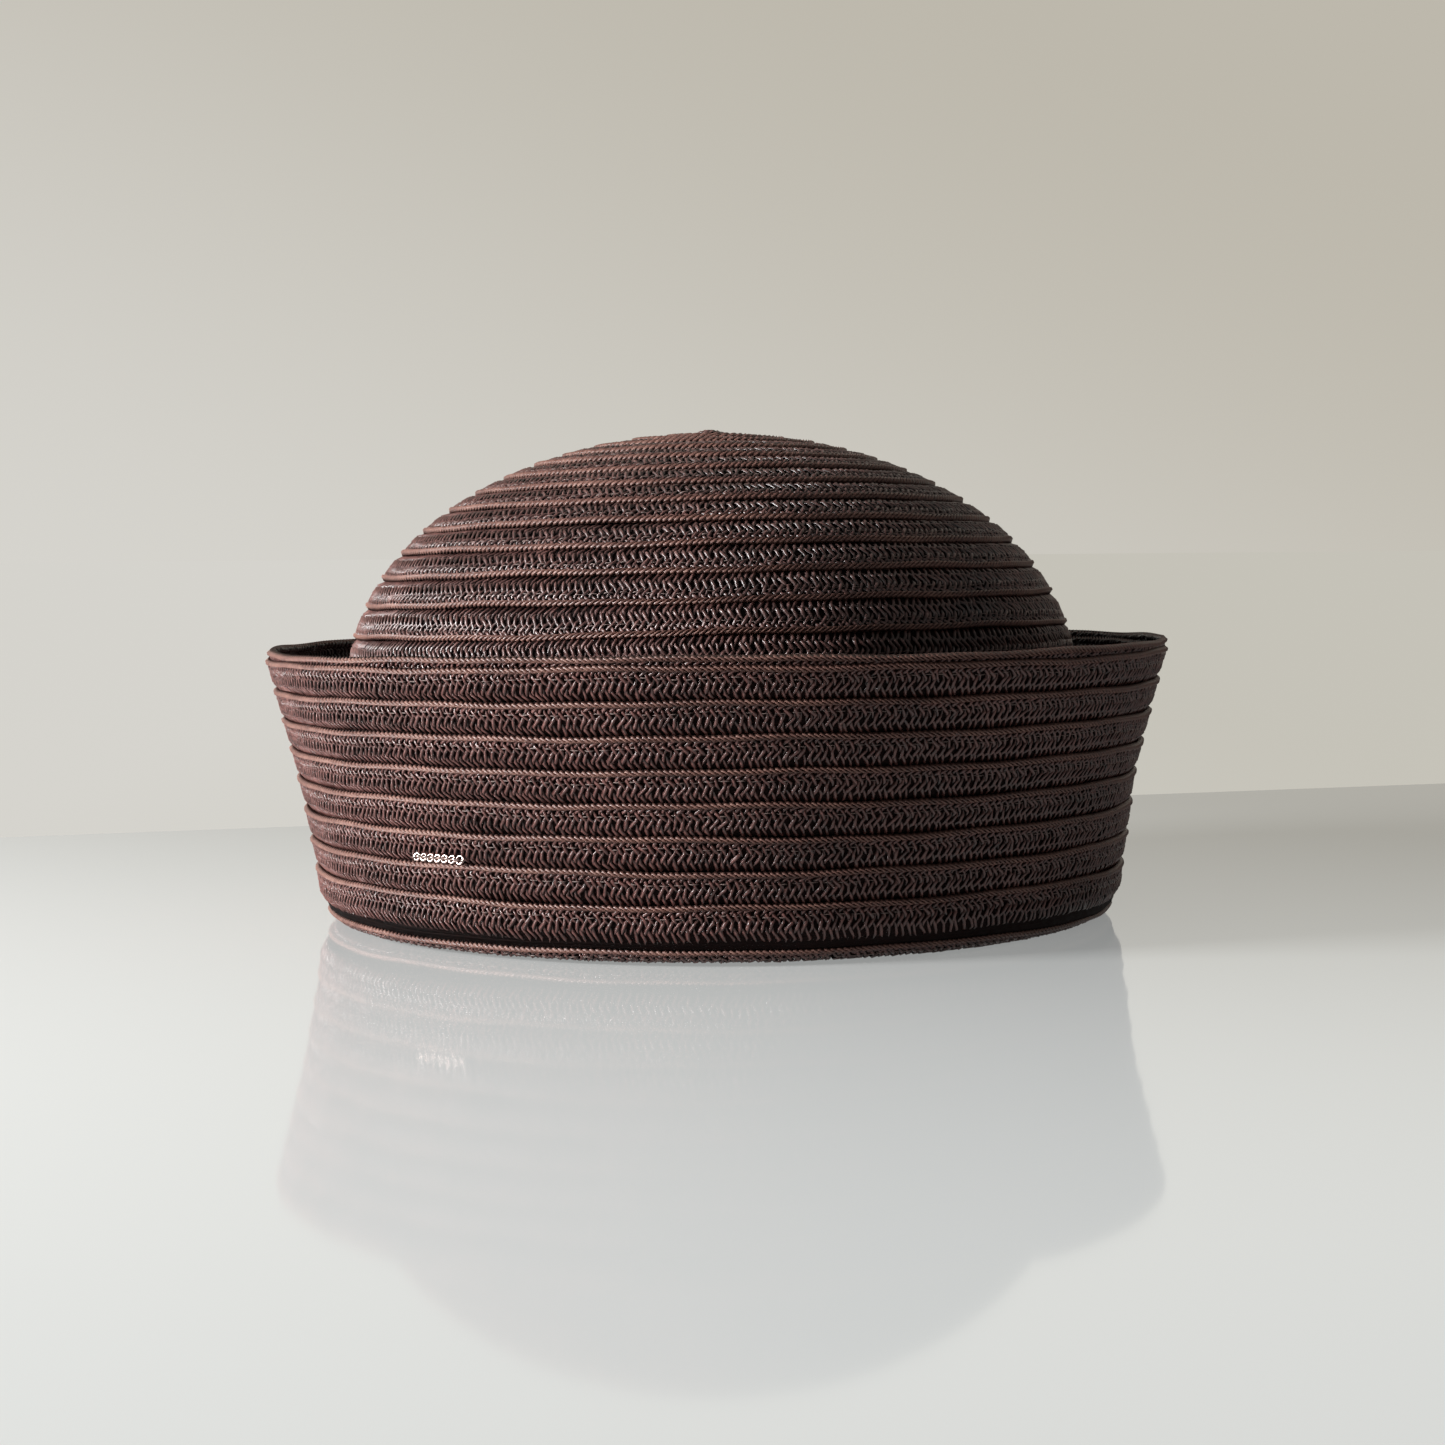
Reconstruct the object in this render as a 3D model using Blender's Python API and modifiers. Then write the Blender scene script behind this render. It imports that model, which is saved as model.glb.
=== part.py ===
"""Sailor hat of sewn braid: a domed crown, a turned-up brim, a sweatband and a small chain trim.

The braid is a flat strip. It winds down the crown from the tip in one spiral and up the brim in
another. Each row laps over the next one, and the rows lie level except for a short step at the back.
Metres, +Z up. The hat stands on its fold at z = 0, its long axis is X and its front faces -Y.
"""

import math

import bmesh
import bpy
import numpy as np
from mathutils import Matrix, Vector

MM = 0.001
NAME = "sailor_hat"

# Driving dimensions of the oval and of the two outlines
OVAL = 0.92  # depth of the hat over its width
CROWN_RADIUS = 95.0 * MM
CROWN_SHOULDER = 58.4 * MM  # height where the dome ends and the side wall begins
CROWN_TOP = 124.8 * MM
CROWN_ROUNDNESS = 2.05  # exponent of the dome's outline, 2 is an ellipse
CROWN_FOOT_RADIUS = 98.7 * MM
CROWN_FOOT = 1.6 * MM
CROWN_FLARE = 1.6  # exponent of the side wall's flare
FOLD_INNER_RADIUS = 96.0 * MM
FOLD_BEND = 2.5 * MM
BRIM_FOOT_RADIUS = 103.0 * MM
BRIM_LEAN = 0.253  # run over rise of the upper brim
BRIM_LEAN_START = 15.5 * MM
BRIM_LEAN_EASE = 5.2 * MM
BRIM_HEIGHT = 71.0 * MM

# The braid and how its rows lap
BRAID_WIDTH = 10.9 * MM
BRAID_THICKNESS = 0.9 * MM
ROW_GAP = 0.4 * MM
LAYER = BRAID_THICKNESS + ROW_GAP
CROWN_ROWS = 22
CROWN_FIRST_ROW = 6.2 * MM  # distance of the first row's middle from the tip, along the outline
TIP_HOLE = 0.8 * MM
BRIM_ROWS = 8
BRIM_PITCH = 8.1 * MM
FOLD_EDGE = 10.9 * MM  # distance of the fold row's outer edge along the brim outline
FOLD_PITCH = 9.7 * MM  # from the fold row to the first row of the brim
EDGE_PEEP = 2.0 * MM  # how far the edge row stands above the last brim row
TURN_STEPS = 32
STEP_ARC = 2 * math.pi * 6 / TURN_STEPS  # part of a turn, at the back, where a row steps to the next
DIP_ARC = 2 * math.pi * 4 / TURN_STEPS  # part of a turn before it, where the row moves inwards

# Sweatband, with its seam
BAND_HEIGHT = 30.0 * MM
BAND_FOOT = 2.6 * MM
BAND_THICKNESS = 0.6 * MM
BAND_CLEARANCE = 3.3 * MM  # from the middle of the crown wall to the middle of the band
BAND_STEPS = 64
SEAM_HEIGHT = 2.2 * MM  # of the thread above the band's lower edge
THREAD_RADIUS = 0.25 * MM
TOUCH = 0.3 * MM

# Chain trim on the brim's left front
LINK_COUNT = 12
LINK_RADIUS = 0.83 * MM  # of the wire's middle line
LINK_WIRE = 0.22 * MM
LINK_SPACING = 1.08 * MM
CHAIN_ROW = 2  # the brim row that the chain lies on, over the edge of the row below
CHAIN_LIFT = 1.5 * MM  # of the chain's middle above that edge
CHAIN_MIDDLE = math.radians(232)  # angle around the hat, from +X towards +Y
RING_RADIUS = 0.95 * MM
RING_WIRE = 0.25 * MM
TACK_RADIUS = 0.15 * MM
TACK_INSIDE = 0.53 * MM  # from the wire's middle to the leg of a tack inside the link
TACK_OUTSIDE = 0.55 * MM
TACK_OVER = 0.52 * MM

# Button at the tip of the crown
TIP_RADIUS = 4.4 * MM
TIP_RISE = 1.5 * MM


def material(name, color, roughness, metallic=0.0):
    """One plain surface, with a colour in linear light."""
    made = bpy.data.materials.new(name)
    made.use_nodes = True
    shader = made.node_tree.nodes["Principled BSDF"]
    shader.inputs["Base Color"].default_value = (*color, 1.0)
    shader.inputs["Roughness"].default_value = roughness
    shader.inputs["Metallic"].default_value = metallic
    made.diffuse_color = (*color, 1.0)
    return made


class Outline:
    """A line in the plane of radius and height, read by the distance along it."""

    def __init__(self, points, side):
        self.points = np.array(points)
        steps = np.linalg.norm(np.diff(self.points, axis=0), axis=1)
        self.distance = np.append(0.0, np.cumsum(steps))
        self.length = self.distance[-1]
        self.side = side

    def at(self, s):
        """The radius and height at distance s, running straight on past both ends."""
        inside = min(max(s, 0.0), self.length)
        point = np.array([np.interp(inside, self.distance, self.points[:, axis]) for axis in (0, 1)])
        if s != inside:
            point = point + (s - inside) * self.along(inside)
        return point

    def along(self, s, reach=0.2 * MM):
        """The direction of travel at distance s."""
        low = min(max(s - reach, 0.0), self.length - 2 * reach)
        step = self.at(low + 2 * reach) - self.at(low)
        return step / np.linalg.norm(step)

    def outward(self, s):
        """The direction of the hat's outer face at distance s."""
        run, rise = self.along(s)
        return self.side * np.array([-rise, run])


def crown_outline(count=240):
    """The dome as a quarter of a rounded oval, then the side wall that flares to the foot."""
    power = 2 / CROWN_ROUNDNESS
    points = []
    for turn in np.linspace(0, math.pi / 2, count):
        rise = (CROWN_TOP - CROWN_SHOULDER) * max(math.cos(turn), 0.0) ** power
        points.append((CROWN_RADIUS * math.sin(turn) ** power, CROWN_SHOULDER + rise))
    for part in np.linspace(0, 1, count // 2)[1:]:
        radius = CROWN_RADIUS + (CROWN_FOOT_RADIUS - CROWN_RADIUS) * part**CROWN_FLARE
        points.append((radius, CROWN_SHOULDER + (CROWN_FOOT - CROWN_SHOULDER) * part))
    return Outline(points, side=1)


def brim_outline(count=160):
    """The flat foot, the bend of the fold, then the wall that leans outwards to the rim."""
    foot = BRAID_THICKNESS / 2
    middle = BRIM_FOOT_RADIUS - FOLD_BEND
    points = [(FOLD_INNER_RADIUS, foot)]
    for turn in np.linspace(0, math.pi / 2, count // 8):
        points.append((middle + FOLD_BEND * math.sin(turn), foot + FOLD_BEND * (1 - math.cos(turn))))
    for height in np.linspace(foot + FOLD_BEND, BRIM_HEIGHT, count)[1:]:
        above = height - BRIM_LEAN_START
        lean = (above + math.hypot(above, BRIM_LEAN_EASE)) / 2
        points.append((BRIM_FOOT_RADIUS + BRIM_LEAN * lean, height))
    return Outline(points, side=-1)


CROWN = crown_outline()
BRIM = brim_outline()
CROWN_PITCH = (CROWN.length - CROWN_FIRST_ROW - BRAID_WIDTH / 2) / (CROWN_ROWS - 1)
FLAT_END = BRIM_FOOT_RADIUS - FOLD_BEND - FOLD_INNER_RADIUS


def smooth(value):
    """An even rise from 0 to 1."""
    value = min(max(value, 0.0), 1.0)
    return value * value * (3 - 2 * value)


def around(point, angle):
    """A point of an outline turned about Z onto the oval. Angle 0 is the back."""
    radius, height = point
    return Vector((-radius * math.sin(angle), OVAL * radius * math.cos(angle), height))


def step_share(angle):
    """How far a row has moved to the next level, at an angle within its turn."""
    return smooth((angle - (2 * math.pi - STEP_ARC)) / STEP_ARC)


def crown_row(turn):
    """The level of the crown's braid in rows, and its move inwards in layers, at a count of turns."""
    row = math.floor(turn)
    share = step_share((turn - row) * 2 * math.pi)
    if row >= CROWN_ROWS - 1:
        return CROWN_ROWS - 1, share
    return row + share, 0.0


def brim_row(turn):
    """The level of the brim's braid in rows, and its move inwards in layers, at a count of turns."""
    if turn < 0:
        return 0, 0.0
    row = math.floor(turn)
    angle = (turn - row) * 2 * math.pi
    share = step_share(angle)
    dip = smooth((angle - (2 * math.pi - STEP_ARC - DIP_ARC)) / DIP_ARC)
    if row >= BRIM_ROWS - 1:
        return BRIM_ROWS - 1, dip
    return row + share, dip * (1 - share)


def crown_point(turn, across):
    """A point of the crown's braid. Across runs from -1 at the upper edge to 1 at the lower one."""
    level, inwards = crown_row(turn)
    middle = CROWN_FIRST_ROW + CROWN_PITCH * level
    upper = max(middle - BRAID_WIDTH / 2, TIP_HOLE)
    place = upper + (middle + BRAID_WIDTH / 2 - upper) * (across + 1) / 2
    lift = LAYER * ((place - middle) / CROWN_PITCH - inwards)
    return around(CROWN.at(place) + lift * CROWN.outward(place), turn * 2 * math.pi)


def brim_edge(level):
    """The distance of a row's upper edge along the brim outline. The fold row has the level -1."""
    if level < 0:
        return FOLD_EDGE
    return FOLD_EDGE + FOLD_PITCH + BRIM_PITCH * level


def brim_place(level, across):
    """The distance along the brim outline of a point across a row, and its lift off the outline."""
    middle = brim_edge(level) - BRAID_WIDTH / 2
    place = middle + across * BRAID_WIDTH / 2
    tilt = smooth((place - FLAT_END) / FOLD_BEND)
    return place, LAYER * tilt * (place - middle) / BRIM_PITCH


def brim_point(turn, across):
    """A point of the brim's braid. Across runs from -1 at the lower edge to 1 at the upper one."""
    level, inwards = brim_row(turn)
    place, lift = brim_place(level, across)
    lift -= LAYER * inwards
    return around(BRIM.at(place) + lift * BRIM.outward(place), turn * 2 * math.pi)


def level_row_point(turn, across, level, inwards):
    """A point of a row of the brim that stays level and meets its own start."""
    place, lift = brim_place(level, across)
    lift -= LAYER * inwards
    return around(BRIM.at(place) + lift * BRIM.outward(place), turn * 2 * math.pi)


def finish(mesh, name, surface, collection):
    """Wraps a finished mesh in a named object of the hat, shaded smooth between its edges."""
    made = bpy.data.objects.new(name, mesh)
    mesh.materials.append(surface)
    mesh.shade_smooth()
    mesh.set_sharp_from_angle(angle=math.radians(40))
    collection.objects.link(made)
    return made


def strip(
    name, point, turns, across_steps, thickness, surface, collection, turn_steps=TURN_STEPS, closed=False
):
    """A long flat strip: a grid laid along the turns of a winding and given its thickness."""
    first, last = turns
    steps = round((last - first) * turn_steps)
    grid = bmesh.new()
    bmesh.ops.create_grid(grid, x_segments=steps, y_segments=across_steps, size=1.0)
    for vertex in grid.verts:
        turn = first + (last - first) * (vertex.co.x + 1) / 2
        vertex.co = point(turn, vertex.co.y)
    if closed:
        bmesh.ops.remove_doubles(grid, verts=grid.verts, dist=0.01 * MM)
    mesh = bpy.data.meshes.new(name)
    grid.to_mesh(mesh)
    grid.free()
    made = finish(mesh, name, surface, collection)
    shell = made.modifiers.new("thickness", "SOLIDIFY")
    shell.thickness = thickness
    shell.offset = 0.0
    shell.use_even_offset = True
    return made


def band_point(height, angle):
    """A point of the middle of the sweatband. Angle 0 is the back."""
    place = np.interp(-height, -CROWN.points[:, 1], CROWN.distance)
    return around(CROWN.at(place) - BAND_CLEARANCE * CROWN.outward(place), angle)


def wire(name, points, radius, surface, collection, closed):
    """A round thread along points."""
    curve = bpy.data.curves.new(name, "CURVE")
    curve.dimensions = "3D"
    curve.bevel_depth = radius
    curve.bevel_resolution = 1
    curve.use_fill_caps = not closed
    spline = curve.splines.new("POLY")
    spline.points.add(len(points) - 1)
    for control, point in zip(spline.points, points):
        control.co = (*point, 1.0)
    spline.use_cyclic_u = closed
    curve.materials.append(surface)
    made = bpy.data.objects.new(name, curve)
    collection.objects.link(made)
    return made


def ring(name, radius, thickness, place, surface, collection):
    """A round link of wire at a place, given as a matrix."""
    bpy.ops.mesh.primitive_torus_add(
        major_radius=radius, minor_radius=thickness, major_segments=14, minor_segments=6
    )
    made = bpy.context.object
    made.name = name
    made.data.name = name
    made.matrix_world = place
    made.data.materials.append(surface)
    made.data.shade_smooth()
    for other in made.users_collection:
        other.objects.unlink(made)
    collection.objects.link(made)
    return made


def chain_frame(angle):
    """The place of the chain at an angle: X along the brim, Y up it and Z off it."""
    middle = brim_edge(CHAIN_ROW) - BRAID_WIDTH / 2
    wanted = brim_edge(CHAIN_ROW - 1) + CHAIN_LIFT
    place, lift = brim_place(CHAIN_ROW, (wanted - middle) / (BRAID_WIDTH / 2))
    lift += BRAID_THICKNESS / 2 + TOUCH + LINK_RADIUS + LINK_WIRE
    spot = BRIM.at(place) + lift * BRIM.outward(place)
    turn = angle - math.pi / 2
    here = around(spot, turn)
    onward = (around(spot, turn + 0.001) - here).normalized()
    upward = around(spot + 0.1 * MM * BRIM.along(place), turn) - here
    outward = onward.cross(upward).normalized()
    upward = outward.cross(onward)
    return Matrix((onward, upward, outward)).transposed().to_4x4(), here, spot[0]


def build_braids(collection, braid):
    """The crown, the brim, the row at the fold and the row at the rim."""
    tail = STEP_ARC / (2 * math.pi)
    strip("crown_braid", crown_point, (-1.0, CROWN_ROWS), 1, BRAID_THICKNESS, braid, collection)
    strip("brim_braid", brim_point, (-tail, BRIM_ROWS), 1, BRAID_THICKNESS, braid, collection)

    def fold_point(turn, across):
        return level_row_point(turn, across, -1, 0.0)

    def edge_point(turn, across):
        return level_row_point(turn, across, BRIM_ROWS - 1 + EDGE_PEEP / BRIM_PITCH, 2.0)

    strip("fold_braid", fold_point, (0.0, 1.0), 6, BRAID_THICKNESS, braid, collection, closed=True)
    strip("edge_braid", edge_point, (0.0, 1.0), 1, BRAID_THICKNESS, braid, collection, closed=True)


def build_tip(collection, braid):
    """The tucked start of the braid, a low button on the crown's tip."""
    button = bmesh.new()
    bmesh.ops.create_uvsphere(button, u_segments=20, v_segments=10, radius=TIP_RADIUS)
    lowest = crown_point(-1.0, 1.0).z + BRAID_THICKNESS / 2 + TOUCH
    for vertex in button.verts:
        vertex.co.z = lowest + TIP_RISE * max(vertex.co.z / TIP_RADIUS, 0.0)
    mesh = bpy.data.meshes.new("crown_tip")
    button.to_mesh(mesh)
    button.free()
    finish(mesh, "crown_tip", braid, collection)


def build_sweatband(collection, ribbon, thread):
    """The ribbon band inside the head opening, the tab over its join and the thread of its seam."""

    def band(turn, across):
        return band_point(BAND_FOOT + BAND_HEIGHT * (across + 1) / 2, turn * 2 * math.pi)

    strip("sweatband", band, (0.0, 1.0), 2, BAND_THICKNESS, ribbon, collection, BAND_STEPS, closed=True)
    inner = BAND_THICKNESS + TOUCH
    step = 1 / BAND_STEPS

    def join(turn, across):
        point = band(turn, across)
        return point - inner * Vector((point.x, point.y, 0.0)).normalized()

    strip("sweatband_join", join, (-step, step), 2, BAND_THICKNESS, ribbon, collection, BAND_STEPS)
    reach = BAND_THICKNESS / 2 + TOUCH + THREAD_RADIUS
    points = []
    for index in range(BAND_STEPS):
        point = band_point(BAND_FOOT + SEAM_HEIGHT, index * 2 * math.pi / BAND_STEPS)
        flat = Vector((point.x, point.y, 0.0)).normalized()
        near_back = abs((index + BAND_STEPS / 2) % BAND_STEPS - BAND_STEPS / 2) <= 2
        points.append(point - (reach + (inner if near_back else 0.0)) * flat)
    wire("sweatband_thread", points, THREAD_RADIUS, thread, collection, closed=True)


def build_chain(collection, metal, thread):
    """A short chain of round links, crossed like a rope, with a ring and two thread tacks."""
    _, _, radius = chain_frame(CHAIN_MIDDLE)
    spread = LINK_SPACING / radius
    for index in range(LINK_COUNT):
        angle = CHAIN_MIDDLE + (index - (LINK_COUNT - 1) / 2) * spread
        turned, here, _ = chain_frame(angle)
        lean = math.radians(45 if index % 2 else -45)
        place = Matrix.Translation(here) @ turned @ Matrix.Rotation(lean, 4, "X")
        ring(f"chain_link_{index + 1:02d}", LINK_RADIUS, LINK_WIRE, place, metal, collection)
    last = (LINK_COUNT - 1) / 2 * spread
    end_angle = CHAIN_MIDDLE + last + (LINK_SPACING + RING_RADIUS - LINK_RADIUS) / radius
    turned, here, _ = chain_frame(end_angle)
    lean = math.radians(45 if LINK_COUNT % 2 else -45)
    place = Matrix.Translation(here) @ turned @ Matrix.Rotation(lean, 4, "X")
    ring("chain_end_ring", RING_RADIUS, RING_WIRE, place, metal, collection)
    tacks = (
        ("chain_tack_left", CHAIN_MIDDLE - last, -LINK_RADIUS, -1),
        ("chain_tack_right", end_angle, RING_RADIUS, 1),
    )
    floor = TACK_RADIUS - LINK_RADIUS - LINK_WIRE
    for name, angle, end, side in tacks:
        turned, here, _ = chain_frame(angle)
        legs = (end - side * TACK_INSIDE, end + side * TACK_OUTSIDE)
        stitch = [(legs[0], floor), (legs[0], TACK_OVER), (legs[1], TACK_OVER), (legs[1], floor)]
        points = [turned.to_3x3() @ Vector((x, 0.0, z)) + here for x, z in stitch]
        wire(name, points, TACK_RADIUS, thread, collection, closed=False)


def build():
    """Makes the whole hat in its own collection."""
    for old in list(bpy.data.objects):
        bpy.data.objects.remove(old, do_unlink=True)
    collection = bpy.data.collections.new(NAME)
    bpy.context.scene.collection.children.link(collection)
    braid = material("brown_braid", (0.085, 0.052, 0.047), 0.5)
    ribbon = material("brown_ribbon", (0.035, 0.024, 0.022), 0.7)
    thread = material("brown_thread", (0.16, 0.11, 0.1), 0.6)
    metal = material("rose_metal", (0.72, 0.58, 0.54), 0.25, 1.0)
    build_braids(collection, braid)
    build_tip(collection, braid)
    build_sweatband(collection, ribbon, thread)
    build_chain(collection, metal, thread)


build()
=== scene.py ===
"""Looks of a sailor hat of sewn braid: plaited rows, lap seams, ribbon sweatband and chain trim.

Every row of braid is plaited here from five strands over packed yarns, and rows in sight have a
twisted cord along the edge that shows. A strand is worked out flat, in braid coordinates (along, across
and off the braid), and is then laid on the solids' winding, with the unevenness of a soft hat added.
"""

import logging
import math
from dataclasses import dataclass, field
from enum import Enum
from typing import Any, Sequence

import bpy
import numpy as np
from mathutils import Euler, Matrix, Vector


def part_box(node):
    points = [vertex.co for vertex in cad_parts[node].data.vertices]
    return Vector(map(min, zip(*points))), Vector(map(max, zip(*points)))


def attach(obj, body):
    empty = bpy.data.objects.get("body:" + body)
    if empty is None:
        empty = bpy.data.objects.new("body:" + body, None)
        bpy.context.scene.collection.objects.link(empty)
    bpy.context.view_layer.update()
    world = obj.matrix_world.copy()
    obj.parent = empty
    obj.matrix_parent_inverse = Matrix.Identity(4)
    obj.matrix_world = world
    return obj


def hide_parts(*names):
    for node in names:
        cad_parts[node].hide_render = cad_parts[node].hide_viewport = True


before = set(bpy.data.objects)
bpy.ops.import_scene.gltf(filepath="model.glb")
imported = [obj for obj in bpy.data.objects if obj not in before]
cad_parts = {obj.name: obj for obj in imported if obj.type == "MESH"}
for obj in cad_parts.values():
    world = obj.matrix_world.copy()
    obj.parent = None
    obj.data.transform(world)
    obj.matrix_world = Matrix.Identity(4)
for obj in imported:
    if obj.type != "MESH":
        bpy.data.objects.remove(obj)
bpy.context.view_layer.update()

LOG = logging.getLogger("sailor_hat")
MM = 0.001
PHOTO_SIZE = 1445  # pixels, both ways
BODY = "root"
SEED = 7
SHADE_ATTRIBUTE = "crest"  # attribute of a strand for painted shade: 1 on its back, less on its flanks and where it is covered
STITCH_ARCH = np.array([-1.0, -0.45, 0.45, 1.0])  # points of a stitch, in halves of its length
STITCH_DIVE = np.array([1.0, 0.0, 0.0, 1.0])  # how far each of them dives, in shares of the full depth


class Slot(Enum):
    """The record's material slots."""

    BRAID = "braid"
    RIBBON = "ribbon"
    THREAD = "thread"
    METAL = "trim_metal"


def linear(code: str) -> tuple[float, float, float, float]:
    """Turns an sRGB hex colour into linear light.

    Args:
        code: six hex digits, with or without a leading #.

    Returns:
        Red, green, blue and an alpha of 1.
    """
    values = [int(code.lstrip("#")[at : at + 2], 16) / 255 for at in (0, 2, 4)]
    light = [v / 12.92 if v <= 0.04045 else ((v + 0.055) / 1.055) ** 2.4 for v in values]
    return (*light, 1.0)


def add_node(
    tree: bpy.types.NodeTree,
    kind: str,
    settings: dict[str, Any] | None = None,
    inputs: dict[str | int, Any] | None = None,
) -> bpy.types.Node:
    """Adds a node to a material.

    Args:
        tree: the material's node tree.
        kind: the node's type name.
        settings: attributes of the node.
        inputs: values for its input sockets, or output sockets to link to them.

    Returns:
        The new node.
    """
    node = tree.nodes.new(kind)
    for name, value in (settings or {}).items():
        setattr(node, name, value)
    for name, value in (inputs or {}).items():
        if isinstance(value, bpy.types.NodeSocket):
            tree.links.new(value, node.inputs[name])
        else:
            node.inputs[name].default_value = value
    return node


def new_material(name: str) -> tuple[bpy.types.Material, bpy.types.NodeTree, bpy.types.Node]:
    """Makes a material with a Principled shader.

    Args:
        name: the material's name.

    Returns:
        The material, its node tree and its shader.
    """
    made = bpy.data.materials.new(name)
    made.use_nodes = True
    return made, made.node_tree, made.node_tree.nodes["Principled BSDF"]


def set_ramp(ramp: bpy.types.ColorRamp, stops: Sequence[tuple[float, Sequence[float]]]) -> None:
    """Sets the stops of a colour ramp.

    Args:
        ramp: the ramp to set.
        stops: positions with their colours, in order.
    """
    while len(ramp.elements) < len(stops):
        ramp.elements.new(0.5)
    for element, (position, color) in zip(ramp.elements, stops):
        element.position = position
        element.color = color


def add_noise(
    tree: bpy.types.NodeTree, place: bpy.types.NodeSocket, grain_mm: float, detail: float
) -> bpy.types.NodeSocket:
    """Adds a noise pattern to a material.

    Args:
        tree: the material's node tree.
        place: the coordinates that it reads.
        grain_mm: the size of its grain.
        detail: how many finer layers it has.

    Returns:
        The socket that gives the pattern's value.
    """
    inputs = {"Vector": place, "Scale": 1 / (grain_mm * MM), "Detail": detail}
    return add_node(tree, "ShaderNodeTexNoise", {}, inputs).outputs["Fac"]


@dataclass(frozen=True)
class YarnFinish:
    """Viscose and paper yarn: dark fibres, a soft gloss on the back of each strand, uneven dye, and painted
    shade on each strand's flanks and where it lies under others.
    """

    name: str
    dark: str
    middle: str
    light: str
    roughness: float
    blotch_mm: float = 22.0  # size of the patches of uneven dye
    fleck_mm: float = 1.3  # about one float of a strand
    shaded_flank: float = 0.08  # share of the colour left on a strand's flanks, as painted shade
    shaded_flank_until: float = 0.42  # crest up to which a strand counts as flank, in painted shade
    shine: float = 0.5  # strength of its gloss
    ior: float = 1.6
    fleck_share: float = 0.65  # how strongly the flecks change the colour
    blotch_share: float = 0.45
    balance: float = -0.08  # added to both, so that the middle colour stays in the middle
    stops: tuple[float, float, float] = (0.25, 0.5, 0.75)  # where dark, middle and light stand
    smoother: float = 0.07  # by which some floats are smoother than the rest
    rougher: float = 0.1

    def material(self) -> bpy.types.Material:
        """Makes the material, with its colour varying over patches and from float to float, and darkened by
        painted shade on the strands' flanks and covered parts.

        Returns:
            The material.
        """
        made, tree, shader = new_material(self.name)
        place = add_node(tree, "ShaderNodeTexCoord").outputs["Object"]
        blotch = add_noise(tree, place, self.blotch_mm, 2.0)
        fleck = add_noise(tree, place, self.fleck_mm, 1.0)
        mix = add_node(
            tree,
            "ShaderNodeMath",
            {"operation": "MULTIPLY_ADD"},
            {0: fleck, 1: self.fleck_share, 2: self.balance},
        )
        both = add_node(
            tree,
            "ShaderNodeMath",
            {"operation": "MULTIPLY_ADD"},
            {0: blotch, 1: self.blotch_share, 2: mix.outputs[0]},
        )
        ramp = add_node(tree, "ShaderNodeValToRGB", {}, {"Fac": both.outputs[0]})
        colors = [linear(code) for code in (self.dark, self.middle, self.light)]
        set_ramp(ramp.color_ramp, list(zip(self.stops, colors)))
        # Painted shade: the crest attribute darkens a strand's flanks and where it lies under others
        crest = add_node(tree, "ShaderNodeAttribute", {"attribute_name": SHADE_ATTRIBUTE})
        shade = add_node(
            tree,
            "ShaderNodeMapRange",
            {},
            {
                "Value": crest.outputs["Fac"],
                "From Min": self.shaded_flank_until,
                "To Min": self.shaded_flank,
                "To Max": 1.0,
            },
        )
        shaded_color = add_node(
            tree,
            "ShaderNodeMix",
            {"data_type": "RGBA", "blend_type": "MULTIPLY"},
            {0: 1.0, 6: ramp.outputs["Color"], 7: shade.outputs["Result"]},
        )
        tree.links.new(shaded_color.outputs[2], shader.inputs["Base Color"])
        gloss = add_node(
            tree,
            "ShaderNodeMapRange",
            {},
            {
                "Value": fleck,
                "From Min": 0.3,  # about the range of the noise
                "From Max": 0.7,
                "To Min": self.roughness - self.smoother,
                "To Max": self.roughness + self.rougher,
            },
        )
        tree.links.new(gloss.outputs["Result"], shader.inputs["Roughness"])
        shader.inputs["IOR"].default_value = self.ior
        shader.inputs["Specular IOR Level"].default_value = self.shine
        return made


# The crown has a stronger and broader sheen than the brim
CROWN_YARN = YarnFinish("glossy_brown_yarn", "#472926", "#794d47", "#a9766d", 0.42, shine=0.95)
BRIM_YARN = YarnFinish("plaited_brown_yarn", "#51322e", "#80534d", "#a6736c", 0.33)
# The twisted cord is painted paler, with less painted shade on its flanks, as painted light: little of it
# lies in shade
CORD_YARN = YarnFinish("twisted_brown_yarn", "#684842", "#956b60", "#b78b7c", 0.45, shaded_flank=0.55)
# The packed yarns are painted near black, as painted shade, for they lie in the shade of the plait; they
# have next to no gloss
SHADED_PACKED_YARN = YarnFinish(
    "packed_yarn_painted_shade", "#150d0c", "#221615", "#30201e", 0.85, shaded_flank=1.0, shine=0.1
)
# Sewing thread, with a lighter painted shade on its flanks
SEWING_THREAD = YarnFinish("sewing_thread", "#7a6660", "#937d77", "#a8938c", 0.5, shaded_flank=0.4)


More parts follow.
